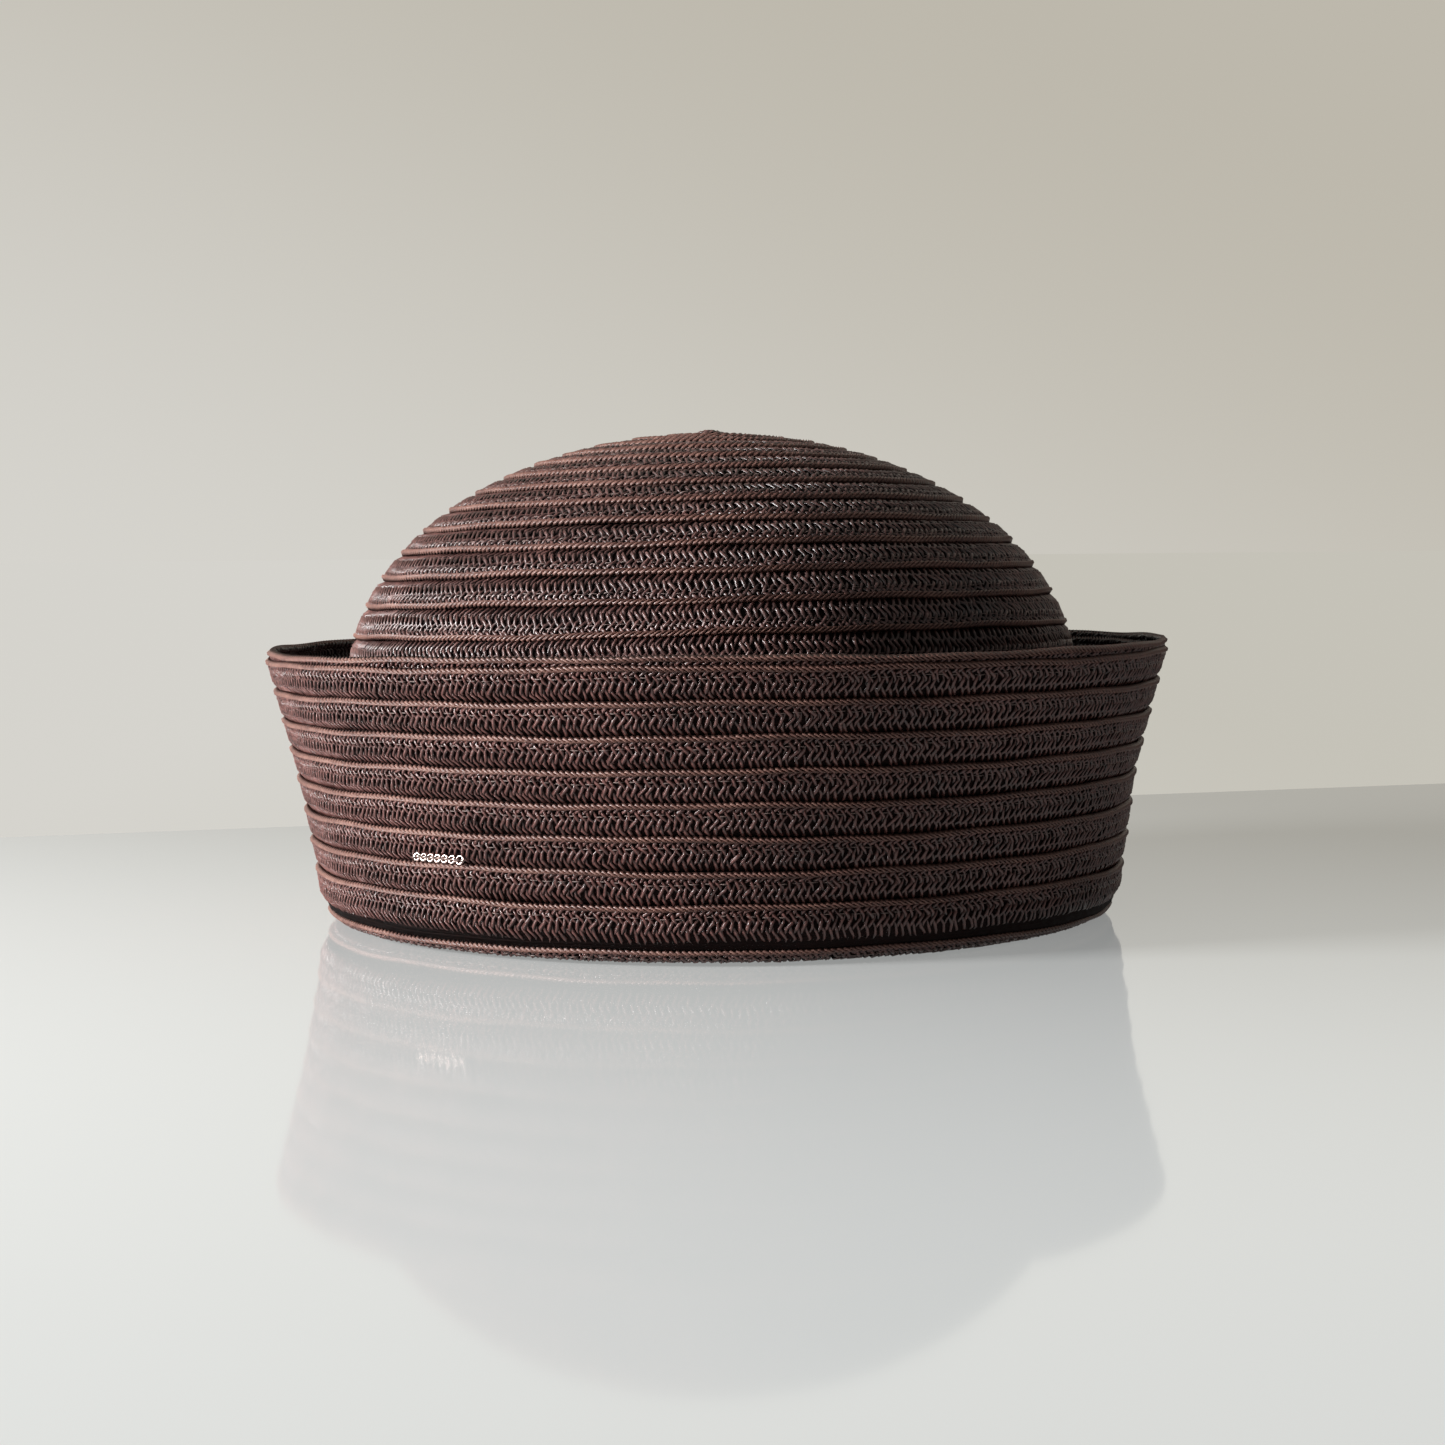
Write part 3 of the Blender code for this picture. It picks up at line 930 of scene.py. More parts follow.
@dataclass(frozen=True)
class Plait:
    """A flat plait of five strands, each passing over one and under one."""

    strands: int = 5
    pitch: float = 1.8 * MM  # along the braid, from one strand to the next of the same slant
    half_wide: float = 0.5 * MM
    half_high: float = 0.38 * MM
    rise: float = 0.42 * MM  # of a strand's middle where it passes over
    lapped_edge: float = -0.93  # where the strands turn, across the braid
    shown_edge: float = 0.8
    crowding: float = 1.65  # power by which the crossings close up towards the cord
    lean: float = 0.12  # by which a strand slants more where it passes over than where it passes under
    uneven: float = 0.14  # share by which the strands' place and thickness vary
    uneven_limit: float = 2.0  # times that share, which nothing exceeds
    slip: float = 0.15  # of that unevenness, how much goes across the braid
    turn_reach: float = 0.4  # columns before and after a turn where a strand has its points
    turn_sink: tuple[float, float] = (0.3, 0.6)  # how deep these lie, in rises
    over_reach: float = 0.34  # the same reach where a strand passes over another and is drawn in full
    covered: float = 0.5  # painted shade by which a strand is darker where it passes under

    def repeat(self, fine: bool) -> tuple[np.ndarray, np.ndarray, np.ndarray]:
        """One strand's way from edge to edge and back.

        Args:
            fine: whether a strand has two points where it passes over, or one.

        Returns:
            Steps along, place across and rise off the middle, at each point.
        """
        n = self.strands
        points = []
        for column in range(2 * n):
            if column % n == 0:
                before, after = self.turn_sink
                points += [(column - self.turn_reach, -before), (column + self.turn_reach, -after)]
                continue
            over = (column < n) == (column % 2 == 0)
            spread = (-self.over_reach, self.over_reach) if over and fine else (0.0,)
            points += [(column + offset, 1.0 if over else -1.0) for offset in spread]
        count = np.array([point[0] for point in points])
        rise = self.rise * np.array([point[1] for point in points])
        column = np.abs((count + n) % (2 * n) - n)
        room = self.shown_edge - self.lapped_edge
        across = self.shown_edge - room * (1 - column / n) ** self.crowding
        step = count + self.lean * np.where(count < n, 1, -1) * np.sin(math.pi * count)
        return step, across, rise

    def weave(self, stretch: Stretch, tubes: TubeMesh, fine: bool = True) -> None:
        """Plaits a stretch of a winding.

        Args:
            stretch: the stretch.
            tubes: the mesh that takes the strands.
            fine: whether the strands are drawn in full.
        """
        step, across, rise = self.repeat(fine)
        per_repeat = 2 * self.strands
        half = self.pitch / 2
        start = math.floor(stretch.first / (per_repeat * half)) - 1
        stop = math.ceil(stretch.last / (per_repeat * half)) + 2
        if stretch.closed:
            stop = start + round((stretch.last - stretch.first) / (per_repeat * half))
            half = (stretch.last - stretch.first) / (per_repeat * (stop - start))
        whole = (step + per_repeat * np.arange(start, stop)[:, None]).ravel()
        across = np.tile(across, stop - start)
        rise = np.tile(rise, stop - start)
        dice = np.random.default_rng(SEED)
        for index in range(self.strands):
            along = (whole - 2 * index) * half
            kept = np.full(len(along), True)
            if not stretch.closed:
                kept = (along >= stretch.first - half) & (along <= stretch.last + half)
            count = np.count_nonzero(kept)
            throws = dice.standard_normal((3, count)).clip(-self.uneven_limit, self.uneven_limit)
            shake, slip, thick = self.uneven * throws
            path, normal = stretch.lay(
                along[kept] + self.pitch * shake, across[kept] + self.slip * slip, rise[kept] * (1 + shake)
            )
            thick = 1 + thick
            # Painted shade where a strand passes under another
            depth = np.where(rise[kept] > 0, 0.0, self.covered)
            tubes.add(path, normal, self.half_wide * thick, self.half_high * thick, depth, stretch.closed)


@dataclass(frozen=True)
class Cord:
    """The twisted cord that the strands turn round, at the edge of the braid that shows."""

    strands: int = 3
    twist: float = 4.2 * MM  # length of one turn of the strands about each other
    steps: int = 6  # points in one turn
    thick: float = 0.52 * MM
    spread: float = 0.48 * MM  # of the strands' middles from the cord's
    inset: float = 1.0 * MM  # of the cord's middle from the edge
    rise: float = 0.32 * MM  # of the cord's middle off the braid's
    covered: float = 0.5  # painted shade by which a strand is at most darker on the cord's inner side

    def twine(self, stretch: Stretch, tubes: TubeMesh) -> None:
        """Lays the cord along a stretch of a winding.

        Args:
            stretch: the stretch.
            tubes: the mesh that takes the strands.
        """
        length = stretch.last - stretch.first
        turns = round(length / self.twist)
        count = turns * self.steps + (0 if stretch.closed else 1)
        along = stretch.first + length * np.arange(count) / (turns * self.steps)
        half_width = stretch.winding.shape.braid_width / 2
        thick = np.full(count, self.thick)
        for strand in range(self.strands):
            turned = 2 * math.pi * (np.arange(count) / self.steps + strand / self.strands)
            across = 1 - (self.inset - self.spread * np.cos(turned)) / half_width
            path, normal = stretch.lay(along, across, self.rise + self.spread * np.sin(turned))
            # Painted shade on the cord's inner side, where it turns into the braid
            depth = np.clip(-np.sin(turned), 0, self.covered)
            tubes.add(path, normal, thick, thick, depth, stretch.closed)


@dataclass(frozen=True)
class Core:
    """The yarns packed inside the plait, drawn as flat bands that close it between the strands, painted
    near black as shade.
    """

    bands: int = 6
    step: float = 4.0 * MM  # from point to point along the braid
    half_high: float = 0.12 * MM  # half a band's thickness
    depth: float = 0.1 * MM  # below the braid's middle
    edges: tuple[float, float] = (-1.03, 0.86)  # across the braid
    lap: float = 1.6  # width of a band, in shares of its room
    flare: float = 0.0  # by which what reaches past the braid's edge leans out, against the next row
    flare_span: float = 0.4  # how far past the edge it leans fully, in halves of the braid's width

    def fill(self, stretch: Stretch, tubes: TubeMesh) -> None:
        """Fills a stretch of a winding.

        Args:
            stretch: the stretch.
            tubes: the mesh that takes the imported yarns.
        """
        length = stretch.last - stretch.first
        steps = round(length / self.step)
        along = stretch.first + length * np.arange(steps + (0 if stretch.closed else 1)) / steps
        low, high = self.edges
        half = (high - low) / self.bands / 2
        wide = np.full(len(along), self.lap * half * stretch.winding.shape.braid_width / 2)
        thick = np.full(len(along), self.half_high)
        for band in range(self.bands):
            across = np.full(len(along), low + half * (2 * band + 1))
            flared = self.flare * smooth_rise(across, 1.0, 1.0 + self.flare_span)
            path, normal = stretch.lay(along, across, flared - self.depth)
            # Depth 1: the bands take the packed yarn's colour directly, painted near black as shade
            tubes.add(path, normal, wide, thick, 1.0, stretch.closed)


@dataclass(frozen=True)
class LapSeam:
    """The machine stitches that hold each row to the next, as short dashes of thread."""

    pitch: float = 3.4 * MM  # from one stitch to the next
    length: float = 2.4 * MM  # of a stitch
    radius: float = 0.21 * MM  # of the thread
    inset: float = 3.1 * MM  # from the edge that shows
    surface: float = 0.62 * MM  # height of the stitches above the braid's middle
    dive: float = 0.4 * MM  # how deep a stitch's ends go into the braid
    wander: float = 0.25 * MM  # by which the seam strays to both sides
    wander_length: float = 3.7 * MM  # of braid over which it strays by one radian of a wave

    def sew(self, stretch: Stretch, tubes: TubeMesh) -> None:
        """Sews a stretch of a winding.

        Args:
            stretch: the stretch.
            tubes: the mesh that takes the stitches.
        """
        width = stretch.winding.shape.braid_width
        height = self.surface - self.dive * STITCH_DIVE
        thick = np.full_like(STITCH_ARCH, self.radius)
        for middle in np.arange(stretch.first + self.pitch, stretch.last - self.pitch, self.pitch):
            stray = self.wander * math.sin(middle / self.wander_length)
            across = np.full_like(STITCH_ARCH, 1 - 2 * (self.inset + stray) / width)
            path, normal = stretch.lay(middle + STITCH_ARCH * self.length / 2, across, height)
            tubes.add(path, normal, thick, thick)


def dress(
    piece: bpy.types.Object, surface: bpy.types.Material, nodes: Sequence[str]
) -> bpy.types.Object:
    """Gives a piece its finish and its body, and hides the parts of the nodes that it stands for.

    Args:
        piece: the piece.
        surface: its material.
        nodes: the nodes that it replaces.

    Returns:
        The piece.
    """
    piece.data.materials.clear()
    piece.data.materials.append(surface)
    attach(piece, BODY)
    if nodes:
        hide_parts(*nodes)
    LOG.info("%s: %d faces", piece.name, len(piece.data.polygons))
    return piece


@dataclass
class Braids:
    """All the plaited rows of the hat, and the seams along them."""

    shape: HatShape
    crown_yarn: bpy.types.Material
    brim_yarn: bpy.types.Material
    cord_yarn: bpy.types.Material
    shaded_packed_yarn: bpy.types.Material
    thread: bpy.types.Material
    plait: Plait = field(default_factory=Plait)
    core: Core = field(default_factory=Core)
    brim_core: Core = Core(bands=14, lap=2.6)  # closer, for a glance along the wall from above
    fold_core: Core = Core(bands=18, edges=(-0.9, 1.6), lap=3.0, flare=0.4 * MM)  # up behind the first row
    cord: Cord = field(default_factory=Cord)
    seam: LapSeam = field(default_factory=LapSeam)
    fold_tuck: float = 1.5  # by which the fold lies inside the brim, in layers
    rim_tuck: float = 0.75  # the same for the row at the rim
    crown_cuts: tuple[float, ...] = (-1.0, 7.0, 10.0, 12.5, 14.6)  # turns where the crown is split
    wall_cuts: tuple[float, ...] = (14.6, 18.4, 22.0)  # the same, behind the brim
    brim_pieces: int = 4
    fine_sides: int = 4  # corners of a strand's section
    coarse_sides: int = 3  # the same behind the brim
    core_sides: int = 4
    thin_sides: int = 3  # the same for cords and stitches
    plait_bands: int = 96  # of the unit square that a piece's strands are mapped to
    long_bands: int = 64  # the same for a whole run's core or cord

    def build(self) -> None:
        """Plaits and sews the crown, the brim, the fold and the rim."""
        crown = CrownWinding(self.shape)
        brim = BrimWinding(self.shape)
        fold = LevelWinding(self.shape, -1.0, self.fold_tuck)
        top = self.shape.brim_rows - 1 + self.shape.edge_peep / self.shape.brim_pitch
        edge = LevelWinding(self.shape, top, self.rim_tuck)
        self.run("crown_plait", crown, self.crown_cuts, "crown_braid", self.crown_yarn)
        self.run(
            "crown_wall_plait",
            crown,
            self.wall_cuts,
            "crown_braid",
            self.crown_yarn,
            fine=False,
            sewn=False,
        )
        brim_cuts = tuple(np.linspace(brim.first, brim.last, self.brim_pieces + 1))
        self.run("brim_plait", brim, brim_cuts, "brim_braid", self.brim_yarn, core=self.brim_core)
        self.run(
            "fold_plait", fold, (0.0, 1.0), "fold_braid", self.brim_yarn, closed=True, core=self.fold_core
        )
        self.run("edge_plait", edge, (0.0, 1.0), "edge_braid", self.brim_yarn, closed=True)

    def run(
        self,
        name: str,
        winding: Winding,
        cuts: Sequence[float],
        node: str,
        yarn: bpy.types.Material,
        fine: bool = True,
        closed: bool = False,
        sewn: bool = True,
        core: Core | None = None,
    ) -> None:
        """Plaits a run of braid as one piece for each stretch between cuts.

        Args:
            name: the pieces' name.
            winding: the run of braid.
            cuts: counts of turns.
            node: the node that the pieces stand for.
            yarn: the finish of its strands.
            fine: whether the strands are drawn in full.
            closed: whether the run meets its own start.
            sewn: whether its cord and seam show.
            core: what closes the plait, if it isn't the same as for most rows.
        """
        for number, part in enumerate(zip(cuts, cuts[1:]), start=1):
            stretch = Stretch(winding, part, closed)
            sides = self.fine_sides if fine else self.coarse_sides
            tubes = TubeMesh(sides=sides, bands=self.plait_bands)
            self.plait.weave(stretch, tubes, fine)
            label = name if len(cuts) == 2 else f"{name}_{number}"
            dress(tubes.build(label), yarn, [node])
        whole = Stretch(winding, (cuts[0], cuts[-1]), closed)
        packed = TubeMesh(sides=self.core_sides, bands=self.long_bands)
        (core or self.core).fill(whole, packed)
        dress(packed.build(f"{name}_core"), self.shaded_packed_yarn, [node])
        if not sewn:
            return
        cords = TubeMesh(sides=self.thin_sides, bands=self.long_bands)
        self.cord.twine(whole, cords)
        dress(cords.build(f"{name}_cord"), self.cord_yarn, [node])
        stitches = TubeMesh(sides=self.thin_sides)
        self.seam.sew(whole, stitches)
        dress(stitches.build(f"{name}_seam"), self.thread, [])


@dataclass
class CrownTip:
    """The tucked start of the braid: a flat coil of twisted strands on the crown's tip."""

    shape: HatShape
    yarn: bpy.types.Material
    turns: float = 2.3
    inner: float = 0.7 * MM  # radius where the coil starts
    outer: float = 3.6 * MM  # radius where it ends
    strands: int = 3
    strand: float = 0.42 * MM  # radius of a strand
    spread: float = 0.42 * MM  # of the strands' middles from the coil's
    twist: float = 4.2 * MM  # length of one turn of the strands about each other
    sunk: float = 0.1 * MM  # of the coil's middle into the rows round it
    fall: float = 0.5  # of the coil's outer end, in heights of the solid
    fall_power: float = 1.5
    count: int = 140  # points along the coil
    sides: int = 6  # corners of a strand's section
    map_bands: int = 8

    def build(self) -> None:
        """Coils the strands from the middle outwards, sinking towards the coil's outer end."""
        low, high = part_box("crown_tip")
        share = np.linspace(0, 1, self.count)
        radius = self.inner + (self.outer - self.inner) * share
        angle = share * self.turns * 2 * math.pi
        height = low[2] - self.sunk - (high[2] - low[2]) * self.fall * share**self.fall_power
        lean = float(self.shape.leaning(np.array(low[2])))
        middle = np.stack([radius * np.cos(angle) - lean, radius * np.sin(angle), height], axis=1)
        outward = np.stack([np.cos(angle), np.sin(angle), np.zeros_like(angle)], axis=1)
        up = np.tile([0.0, 0.0, 1.0], (self.count, 1))
        length = np.append(0, np.cumsum(np.linalg.norm(np.diff(middle, axis=0), axis=1)))
        tubes = TubeMesh(sides=self.sides, bands=self.map_bands)
        thick = np.full(self.count, self.strand)
        for strand in range(self.strands):
            lay = 2 * math.pi * (length / self.twist + strand / self.strands)
            path = middle + self.spread * (outward * np.cos(lay)[:, None] + up * np.sin(lay)[:, None])
            tubes.add(path, up, thick, thick)
        dress(tubes.build("crown_tip_coil"), self.yarn, ["crown_tip"])


@dataclass
class Sweatband:
    """The ribbed ribbon inside the head opening, its join and the stitches that hold it."""

    shape: HatShape
    ribbon: bpy.types.Material
    thread: bpy.types.Material
    foot: float = 2.6 * MM  # of the ribbon above the table
    height: float = 30.0 * MM
    clearance: float = 3.3 * MM  # of its middle inside the line that the crown's rows follow
    thickness: float = 0.6 * MM
    ribs: int = 480
    rib_depth: float = 0.14 * MM
    rows: int = 8  # of faces over its height
    join_turn: float = 1 / 64  # half the tab's length, in turns
    join_gap: float = 0.3 * MM  # between the ribbon and the tab
    stitch_count: int = 190
    stitch_half: float = 0.3  # half a stitch's length, in shares of the room it has
    stitch_radius: float = 0.2 * MM
    stitch_off: float = 0.25 * MM  # of a stitch's middle off the ribbon
    stitch_dive: float = 0.3 * MM
    stitch_height: float = 2.2 * MM  # above the ribbon's foot
    stitch_probe: float = 0.5 * MM  # distance inwards at which a stitch's direction is taken
    stitch_sides: int = 4  # corners of a stitch's section
    stitch_bands: int = 16  # of the unit square that the stitches are mapped to
    weld: float = 0.01 * MM  # distance within which the ribbon's ends are joined

    def middle(self, turn: np.ndarray, height: np.ndarray, inwards: np.ndarray) -> np.ndarray:
        """Points of the band's middle, moved inwards.

        Args:
            turn: count of turns from the back.
            height: height above the table.
            inwards: move towards the hat's axis.

        Returns:
            Points in metres.
        """
        outline = self.shape.crown_outline()
        place = np.interp(-height, -outline.points[:, 1], outline.distance)
        return self.shape.around(outline.lifted(place, -self.clearance - inwards), turn)

    def ribbon_piece(
        self, name: str, nodes: Sequence[str], span: tuple[float, float], ribs: int, inwards: float
    ) -> None:
        """Makes a stretch of ribbon as a grid with a crest for each rib, given its thickness.

        Args:
            name: the piece's name.
            nodes: the nodes that it stands for.
            span: counts of turns where it starts and ends.
            ribs: how many ribs it has.
            inwards: move towards the hat's axis.
        """
        bpy.ops.object.select_all(action="DESELECT")
        bpy.ops.mesh.primitive_grid_add(x_subdivisions=2 * ribs, y_subdivisions=self.rows, size=2)
        piece = bpy.context.object
        piece.name = name
        mesh = piece.data
        flat = np.empty(len(mesh.vertices) * 3)
        mesh.vertices.foreach_get("co", flat)
        flat = flat.reshape(-1, 3)
        column = np.rint((flat[:, 0] + 1) * ribs)
        turn = span[0] + (span[1] - span[0]) * column / (2 * ribs)
        height = self.foot + self.height * (flat[:, 1] + 1) / 2
        crest = self.rib_depth * (column % 2)
        mesh.vertices.foreach_set("co", self.middle(turn, height, inwards + crest).ravel())
        shell = piece.modifiers.new("thickness", "SOLIDIFY")
        shell.thickness = self.thickness
        shell.offset = 0.0
        if span[1] - span[0] == 1:
            weld = piece.modifiers.new("close", "WELD")
            weld.merge_threshold = self.weld
            bpy.ops.object.modifier_move_to_index(modifier="close", index=0)
            bpy.ops.object.modifier_apply(modifier="close")
        bpy.ops.object.modifier_apply(modifier="thickness")
        bpy.ops.object.mode_set(mode="EDIT")
        bpy.ops.mesh.select_all(action="SELECT")
        bpy.ops.mesh.normals_make_consistent(inside=False)
        bpy.ops.object.mode_set(mode="OBJECT")
        bpy.ops.object.shade_smooth()
        dress(piece, self.ribbon, nodes)

    def build(self) -> None:
        """Makes the band, its join and its seam."""
        step = self.thickness + self.join_gap
        self.ribbon_piece("sweatband_ribbon", ["sweatband"], (0.0, 1.0), self.ribs, 0.0)
        join_ribs = round(self.ribs * 2 * self.join_turn)
        join_span = (-self.join_turn, self.join_turn)
        self.ribbon_piece("sweatband_tab", ["sweatband_join"], join_span, join_ribs, step)
        tubes = TubeMesh(sides=self.stitch_sides, bands=self.stitch_bands)
        thick = np.full_like(STITCH_ARCH, self.stitch_radius)
        height = np.full_like(STITCH_ARCH, self.foot + self.stitch_height)
        surface = self.thickness / 2 + self.stitch_off - self.stitch_dive * STITCH_DIVE
        over_tab = self.join_turn + self.stitch_half / self.stitch_count
        for index in range(self.stitch_count):
            centre = (index + 0.5) / self.stitch_count
            turn = centre + STITCH_ARCH * self.stitch_half / self.stitch_count
            near = min(centre, 1 - centre) < over_tab
            inwards = surface + (step if near else 0.0)
            path = self.middle(turn, height, inwards)
            normal = self.middle(turn, height, inwards + self.stitch_probe) - path
            tubes.add(path, normal, thick, thick)
        dress(tubes.build("sweatband_stitches"), self.thread, ["sweatband_thread"])


@dataclass
class ChainTrim:
    """The short rope of crossed links on the brim's left front, its ring and its tacks."""

    shape: HatShape
    metal: bpy.types.Material
    thread: bpy.types.Material
    links: int = 12
    link_radius: float = 0.83 * MM  # of the wire's middle line
    link_wire: float = 0.22 * MM  # radius of the wire
    shown_wire: float = 0.27 * MM  # the same, drawn a little fuller
    spacing: float = 1.08 * MM  # from link to link
    lean: float = math.radians(45)  # of the links about the chain, to one side and the other in turn
    ring_radius: float = 0.95 * MM
    ring_wire: float = 0.25 * MM
    row: int = 2  # the brim row that the chain lies on
    lift: float = 1.5 * MM  # of the chain's middle above the edge of the row below
    off: float = 1.8 * MM  # of the chain's middle off the braid's middle
    middle_turn: float = 142 / 360  # from the back
    tack_radius: float = 0.15 * MM
    tack_inside: float = 0.53 * MM  # reach of a tack from the wire into the link
    tack_outside: float = 0.55 * MM  # reach from the wire outwards
    tack_over: float = 0.52 * MM  # height of its bow above the chain's middle
    bow_points: int = 9  # of a tack's bow over the wire
    bow_power: float = 0.5  # below 1 for a bow that is flat on top
    turn_step: float = 1e-4  # steps at which the brim's directions are taken
    across_step: float = 0.02
    ring_parts: int = 36  # faces round a link
    wire_parts: int = 12  # faces round its wire
    tack_sides: int = 8
    tack_bands: int = 2

    def place(self, along: float) -> Matrix:
        """The place at a distance along the chain: X along the brim, Y up it and Z off it.

        Args:
            along: distance from the chain's middle, to the right as the hat faces the camera.

        Returns:
            The place as a matrix.
        """
        brim = BrimWinding(self.shape)
        width = self.shape.braid_width
        across = (self.lift - self.shape.brim_pitch + width / 2) / (width / 2)
        here = self.row + self.middle_turn
        turns, lengths = brim.lengths()
        turn = np.interp(np.interp(here, turns, lengths) + along, lengths, turns)
        turns = turn + self.turn_step * np.array([0.0, 1.0, 0.0])
        places = across + self.across_step * np.array([0.0, 0.0, 1.0])
        spots = brim.lay(turns, places, np.full_like(turns, self.off))
        onward = Vector(spots[1] - spots[0]).normalized()
        outward = onward.cross(Vector(spots[2] - spots[0])).normalized()
        turned = Matrix((onward, outward.cross(onward), outward)).transposed().to_4x4()
        return Matrix.Translation(Vector(spots[0])) @ turned

    def ring(self, node: str, along: float, radius: float, wire: float, lean: float) -> None:
        """Makes a round link.

        Args:
            node: the node that it stands for.
            along: its distance from the chain's middle.
            radius: of the wire's middle line.
            wire: radius of the wire.
            lean: angle of its lean about the chain.
        """
        bpy.ops.mesh.primitive_torus_add(
            major_radius=radius,
            minor_radius=wire,
            major_segments=self.ring_parts,
            minor_segments=self.wire_parts,
        )
        piece = bpy.context.object
        piece.name = node.replace("chain_", "trim_")
        piece.data.transform(self.place(along) @ Matrix.Rotation(lean, 4, "X"))
        piece.data.shade_smooth()
        dress(piece, self.metal, [node])

    def build(self) -> None:
        """Makes the links, the ring and the tacks."""
        for index in range(self.links):
            along = (index - (self.links - 1) / 2) * self.spacing
            lean = self.lean if index % 2 else -self.lean
            self.ring(f"chain_link_{index + 1:02d}", along, self.link_radius, self.shown_wire, lean)
        last = (self.links - 1) / 2 * self.spacing
        end = last + self.spacing + self.ring_radius - self.link_radius
        self.ring("chain_end_ring", end, self.ring_radius, self.ring_wire, -self.lean)
        self.tack("chain_tack_left", -last, -self.link_radius, -1)
        self.tack("chain_tack_right", end, self.ring_radius, 1)

    def tack(self, node: str, along: float, edge: float, side: int) -> None:
        """Makes a stitch over the wire of an end link.

        Args:
            node: the node that it stands for.
            along: the link's distance from the chain's middle.
            edge: the wire's distance from the link's middle.
            side: 1 or -1, the way outwards.
        """
        floor = self.tack_radius - self.link_radius - self.link_wire
        inner, outer = edge - side * self.tack_inside, edge + side * self.tack_outside
        middle, reach = (inner + outer) / 2, (outer - inner) / 2
        bow = []
        for turn in np.linspace(0, math.pi, self.bow_points):
            bow.append((middle - reach * math.cos(turn), self.tack_over * math.sin(turn) ** self.bow_power))
        line = [(inner, floor), *bow, (outer, floor)]
        place = self.place(along)
        path = np.array([place @ Vector((x, 0.0, z)) for x, z in line])
        normal = np.tile(np.array(place.to_3x3() @ Vector((0, 1, 0))), (len(path), 1))
        thick = np.full(len(path), self.tack_radius)
        tubes = TubeMesh(sides=self.tack_sides, bands=self.tack_bands)
        tubes.add(path, normal, thick, thick)
        dress(tubes.build(node.replace("chain_", "trim_")), self.thread, [node])


@dataclass(frozen=True)
class Glow:
    """Light that the stage shows the camera and mirrors, fading from one end to the other."""

    bright: str
    dim: str
    way: tuple[float, float, float]  # direction towards the bright end
    dim_at: float  # how far that way from the origin, in metres on a panel and as a share in the world
    bright_at: float

    def color(self, tree: bpy.types.NodeTree, source: str = "Object") -> bpy.types.NodeSocket:
        """Adds the fading colour to a material or the world.

        Args:
            tree: its node tree.
            source: the texture coordinate that it fades along.

        Returns:
            The socket that gives the colour.
        """
        place = add_node(tree, "ShaderNodeTexCoord").outputs[source]
        onward = add_node(
            tree, "ShaderNodeVectorMath", {"operation": "DOT_PRODUCT"}, {0: place, 1: self.way}
        )
        share = add_node(
            tree,
            "ShaderNodeMapRange",
            {"interpolation_type": "SMOOTHSTEP"},
            {"Value": onward.outputs["Value"], "From Min": self.dim_at, "From Max": self.bright_at},
        )
        mix = add_node(
            tree,
            "ShaderNodeMix",
            {"data_type": "RGBA"},
            {0: share.outputs["Result"], 6: linear(self.dim), 7: linear(self.bright)},
        )
        return mix.outputs[2]


@dataclass(frozen=True)
class Lamp:
    """A soft square lamp."""

    name: str
    place: tuple[float, float, float]
    target: tuple[float, float, float]  # what it faces
    size: float  # of its side, in metres
    power: float  # in watts

    def hang(self) -> None:
        """Hangs the lamp in its place, facing its target."""
        data = bpy.data.lights.new(self.name, "AREA")
        data.size = self.size
        data.energy = self.power
        lamp = bpy.data.objects.new(self.name, data)
        bpy.context.scene.collection.objects.link(lamp)
        lamp.location = self.place
        facing = Vector(self.target) - Vector(self.place)
        lamp.rotation_euler = facing.to_track_quat("-Z", "Y").to_euler()


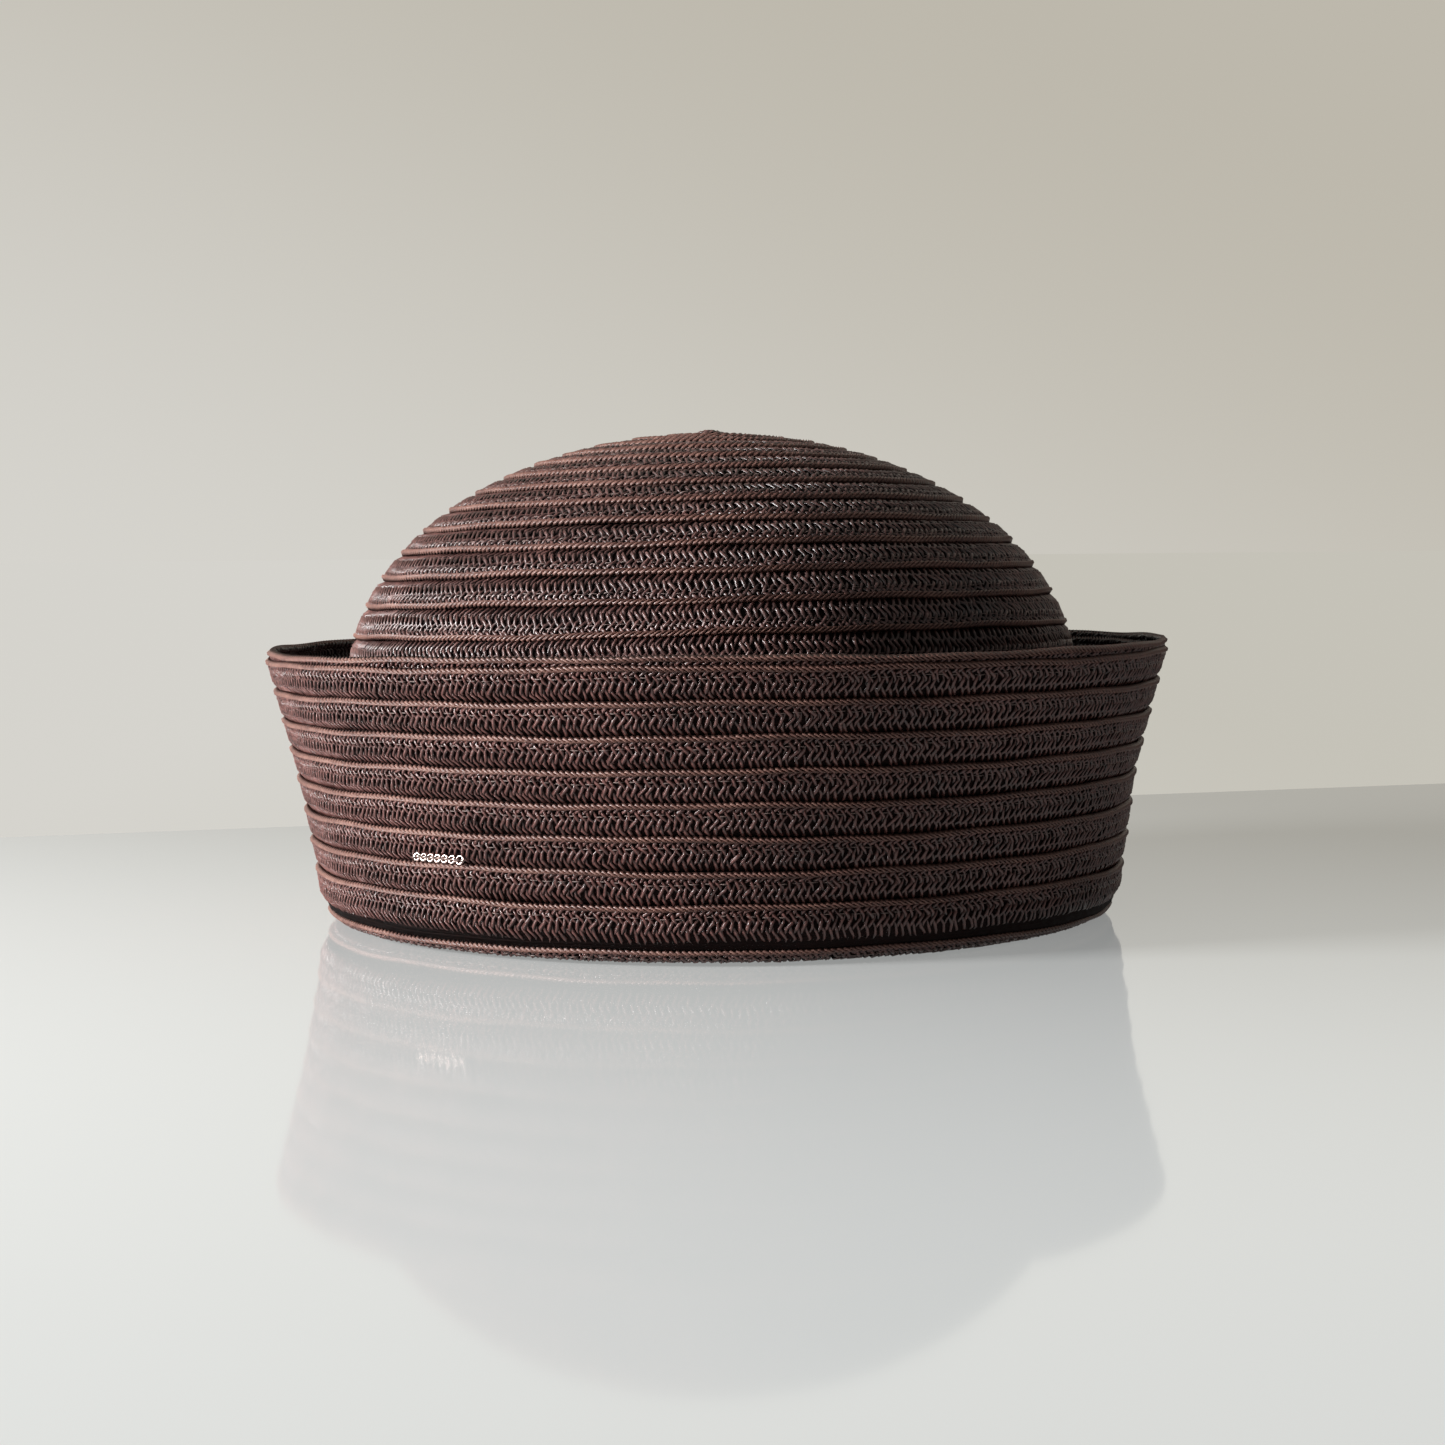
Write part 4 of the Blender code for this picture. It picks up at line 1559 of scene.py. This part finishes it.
@dataclass
class Studio:
    """The glossy pale table, the matt floor and backdrop behind it, the soft light and the camera."""

    distance: float = 651.0 * MM  # of the camera in front of the hat's axis
    height: float = 95.7 * MM
    focal_px: float = 2458.0
    horizon_px: float = 549.0  # row of the photo at the camera's own height
    roll_deg: float = -0.48
    yaw_deg: float = -0.195
    side: float = -0.8 * MM
    floor_color: str = "#bcbebd"
    # Painted light: the table glows brighter towards the front left and dimmer towards the back right, the
    # far floor and the sky paler on the left
    floor_glow: Glow = Glow("#a9abaa", "#4a4b4a", (-0.3, -1.0, 0.0), -0.34, 0.34)
    # The far floor is near black under the lamps, so that no shadow shows on it, and its painted glow gives
    # its colour
    far_color: str = "#1c1c1b"
    far_glow: Glow = Glow("#d5d3cd", "#c5c2b8", (-1.0, 0.0, 0.0), -0.3, 0.3)
    sky_glow: Glow = Glow("#d6d4ce", "#bdb8ac", (-0.4, 0.0, -0.9), -0.25, 0.14)
    sensor: float = 36.0  # width of the camera's sensor, in millimetres
    clip: float = 0.01  # distance from the camera where the picture starts
    edge_place: float = 0.246  # of the table's back edge behind the hat's axis
    edge_slope: float = 0.27  # of that edge, further back to the right
    reach: float = 30.0  # of the floor to all sides
    polish: float = 0.94  # by which a glossy panel is smoother than a matt one
    mirror: float = 0.5  # strength of a glossy panel's reflection
    air_color: str = "#fbf8f4"
    air_light: float = 0.085  # that the world gives from all sides
    mirror_fade: tuple[float, float] = (0.0, 0.5)  # how far back the backdrop shows in what is glossy
    lamps: tuple[Lamp, ...] = (
        Lamp("key", (-1.25, -0.42, 0.42), (0.0, 0.0, 0.06), 0.35, 26.5),
        Lamp("top", (-0.1, 0.1, 1.2), (0.0, 0.0, 0.1), 0.8, 0.3),
    )

    def build(self) -> None:
        """Sets up everything round the hat."""
        self.camera()
        self.floor()
        self.sky()
        for lamp in self.lamps:
            lamp.hang()
        bpy.context.scene.view_settings.view_transform = "Standard"

    def camera(self) -> None:
        """Stands the camera where the photo was taken from."""
        data = bpy.data.cameras.new("camera")
        data.sensor_width = self.sensor
        data.lens = data.sensor_width * self.focal_px / PHOTO_SIZE
        data.clip_start = self.clip
        camera = bpy.data.objects.new("camera", data)
        bpy.context.scene.collection.objects.link(camera)
        pitch = math.atan2(PHOTO_SIZE / 2 - self.horizon_px, self.focal_px)
        turned = Euler((math.pi / 2 - pitch, 0.0, math.radians(self.yaw_deg))).to_matrix().to_4x4()
        roll = Matrix.Rotation(math.radians(self.roll_deg), 4, "Z")
        place = Matrix.Translation((self.side, -self.distance, self.height))
        camera.matrix_world = place @ turned @ roll
        bpy.context.scene.camera = camera

    def panel(
        self, name: str, corners: Sequence[Sequence[float]], color: str, shine: float, glow: Glow
    ) -> None:
        """Makes a flat panel of the stage.

        Args:
            name: its name.
            corners: its four corners.
            color: its colour, as sRGB hex.
            shine: 0 for a matt panel, 1 for a glossy one.
            glow: light added to it for the camera and mirrors.
        """
        mesh = bpy.data.meshes.new(name)
        mesh.from_pydata([tuple(corner) for corner in corners], [], [(0, 1, 2, 3)])
        made = bpy.data.objects.new(name, mesh)
        bpy.context.scene.collection.objects.link(made)
        surface, tree, shader = new_material(name)
        shader.inputs["Base Color"].default_value = linear(color)
        shader.inputs["Roughness"].default_value = 1.0 - self.polish * shine
        shader.inputs["Specular IOR Level"].default_value = self.mirror * shine
        rays = add_node(tree, "ShaderNodeLightPath")
        seen = add_node(
            tree,
            "ShaderNodeMath",
            {"operation": "MAXIMUM"},
            {0: rays.outputs["Is Camera Ray"], 1: rays.outputs["Is Glossy Ray"]},
        )
        tree.links.new(glow.color(tree), shader.inputs["Emission Color"])
        tree.links.new(seen.outputs[0], shader.inputs["Emission Strength"])
        mesh.materials.append(surface)

    def floor(self) -> None:
        """Lays the glossy pale table, and behind its edge a matt floor in the backdrop's colour."""
        reach = self.reach
        left = self.edge_place - self.edge_slope * reach
        right = self.edge_place + self.edge_slope * reach
        near = [(-reach, -reach, 0), (reach, -reach, 0), (reach, right, 0), (-reach, left, 0)]
        far = [(-reach, left, 0), (reach, right, 0), (reach, reach, 0), (-reach, reach, 0)]
        self.panel("floor", near, self.floor_color, 1.0, self.floor_glow)
        self.panel("far_floor", far, self.far_color, 0.0, self.far_glow)

    def sky(self) -> None:
        """Sets the backdrop's colour, which gives little light, and mirrors only behind the hat."""
        world = bpy.data.worlds.new("studio")
        world.use_nodes = True
        bpy.context.scene.world = world
        tree = world.node_tree
        light = tree.nodes["Background"]
        light.inputs["Color"].default_value = linear(self.air_color)
        light.inputs["Strength"].default_value = self.air_light
        backdrop = self.sky_glow.color(tree, "Generated")
        shown = add_node(tree, "ShaderNodeBackground", {}, {"Color": backdrop})
        rays = add_node(tree, "ShaderNodeLightPath")
        way = add_node(tree, "ShaderNodeTexCoord")
        parts = add_node(tree, "ShaderNodeSeparateXYZ", {}, {"Vector": way.outputs["Generated"]})
        start, full = self.mirror_fade
        behind = add_node(
            tree,
            "ShaderNodeMapRange",
            {},
            {"Value": parts.outputs["Y"], "From Min": start, "From Max": full},
        )
        mirrored = add_node(
            tree,
            "ShaderNodeMath",
            {"operation": "MULTIPLY"},
            {0: rays.outputs["Is Glossy Ray"], 1: behind.outputs["Result"]},
        )
        seen = add_node(
            tree,
            "ShaderNodeMath",
            {"operation": "MAXIMUM"},
            {0: rays.outputs["Is Camera Ray"], 1: mirrored.outputs[0]},
        )
        mixed = add_node(
            tree,
            "ShaderNodeMixShader",
            {},
            {0: seen.outputs[0], 1: light.outputs["Background"], 2: shown.outputs["Background"]},
        )
        tree.links.new(mixed.outputs["Shader"], tree.nodes["World Output"].inputs["Surface"])


def main() -> None:
    """Builds the hat piece by piece and sets up the studio."""
    logging.basicConfig(level=logging.INFO, format="%(name)s %(message)s")
    shape = HatShape()
    crown_yarn = CROWN_YARN.material()
    brim_yarn = BRIM_YARN.material()
    cord_yarn = CORD_YARN.material()
    shaded_packed_yarn = SHADED_PACKED_YARN.material()
    thread = SEWING_THREAD.material()
    Studio().build()
    Braids(shape, crown_yarn, brim_yarn, cord_yarn, shaded_packed_yarn, thread).build()
    CrownTip(shape, crown_yarn).build()
    Sweatband(shape, RibbonFinish().material(), thread).build()
    ChainTrim(shape, MetalFinish().material(), thread).build()
    bpy.context.view_layer.update()


if __name__ == "__main__":
    main()
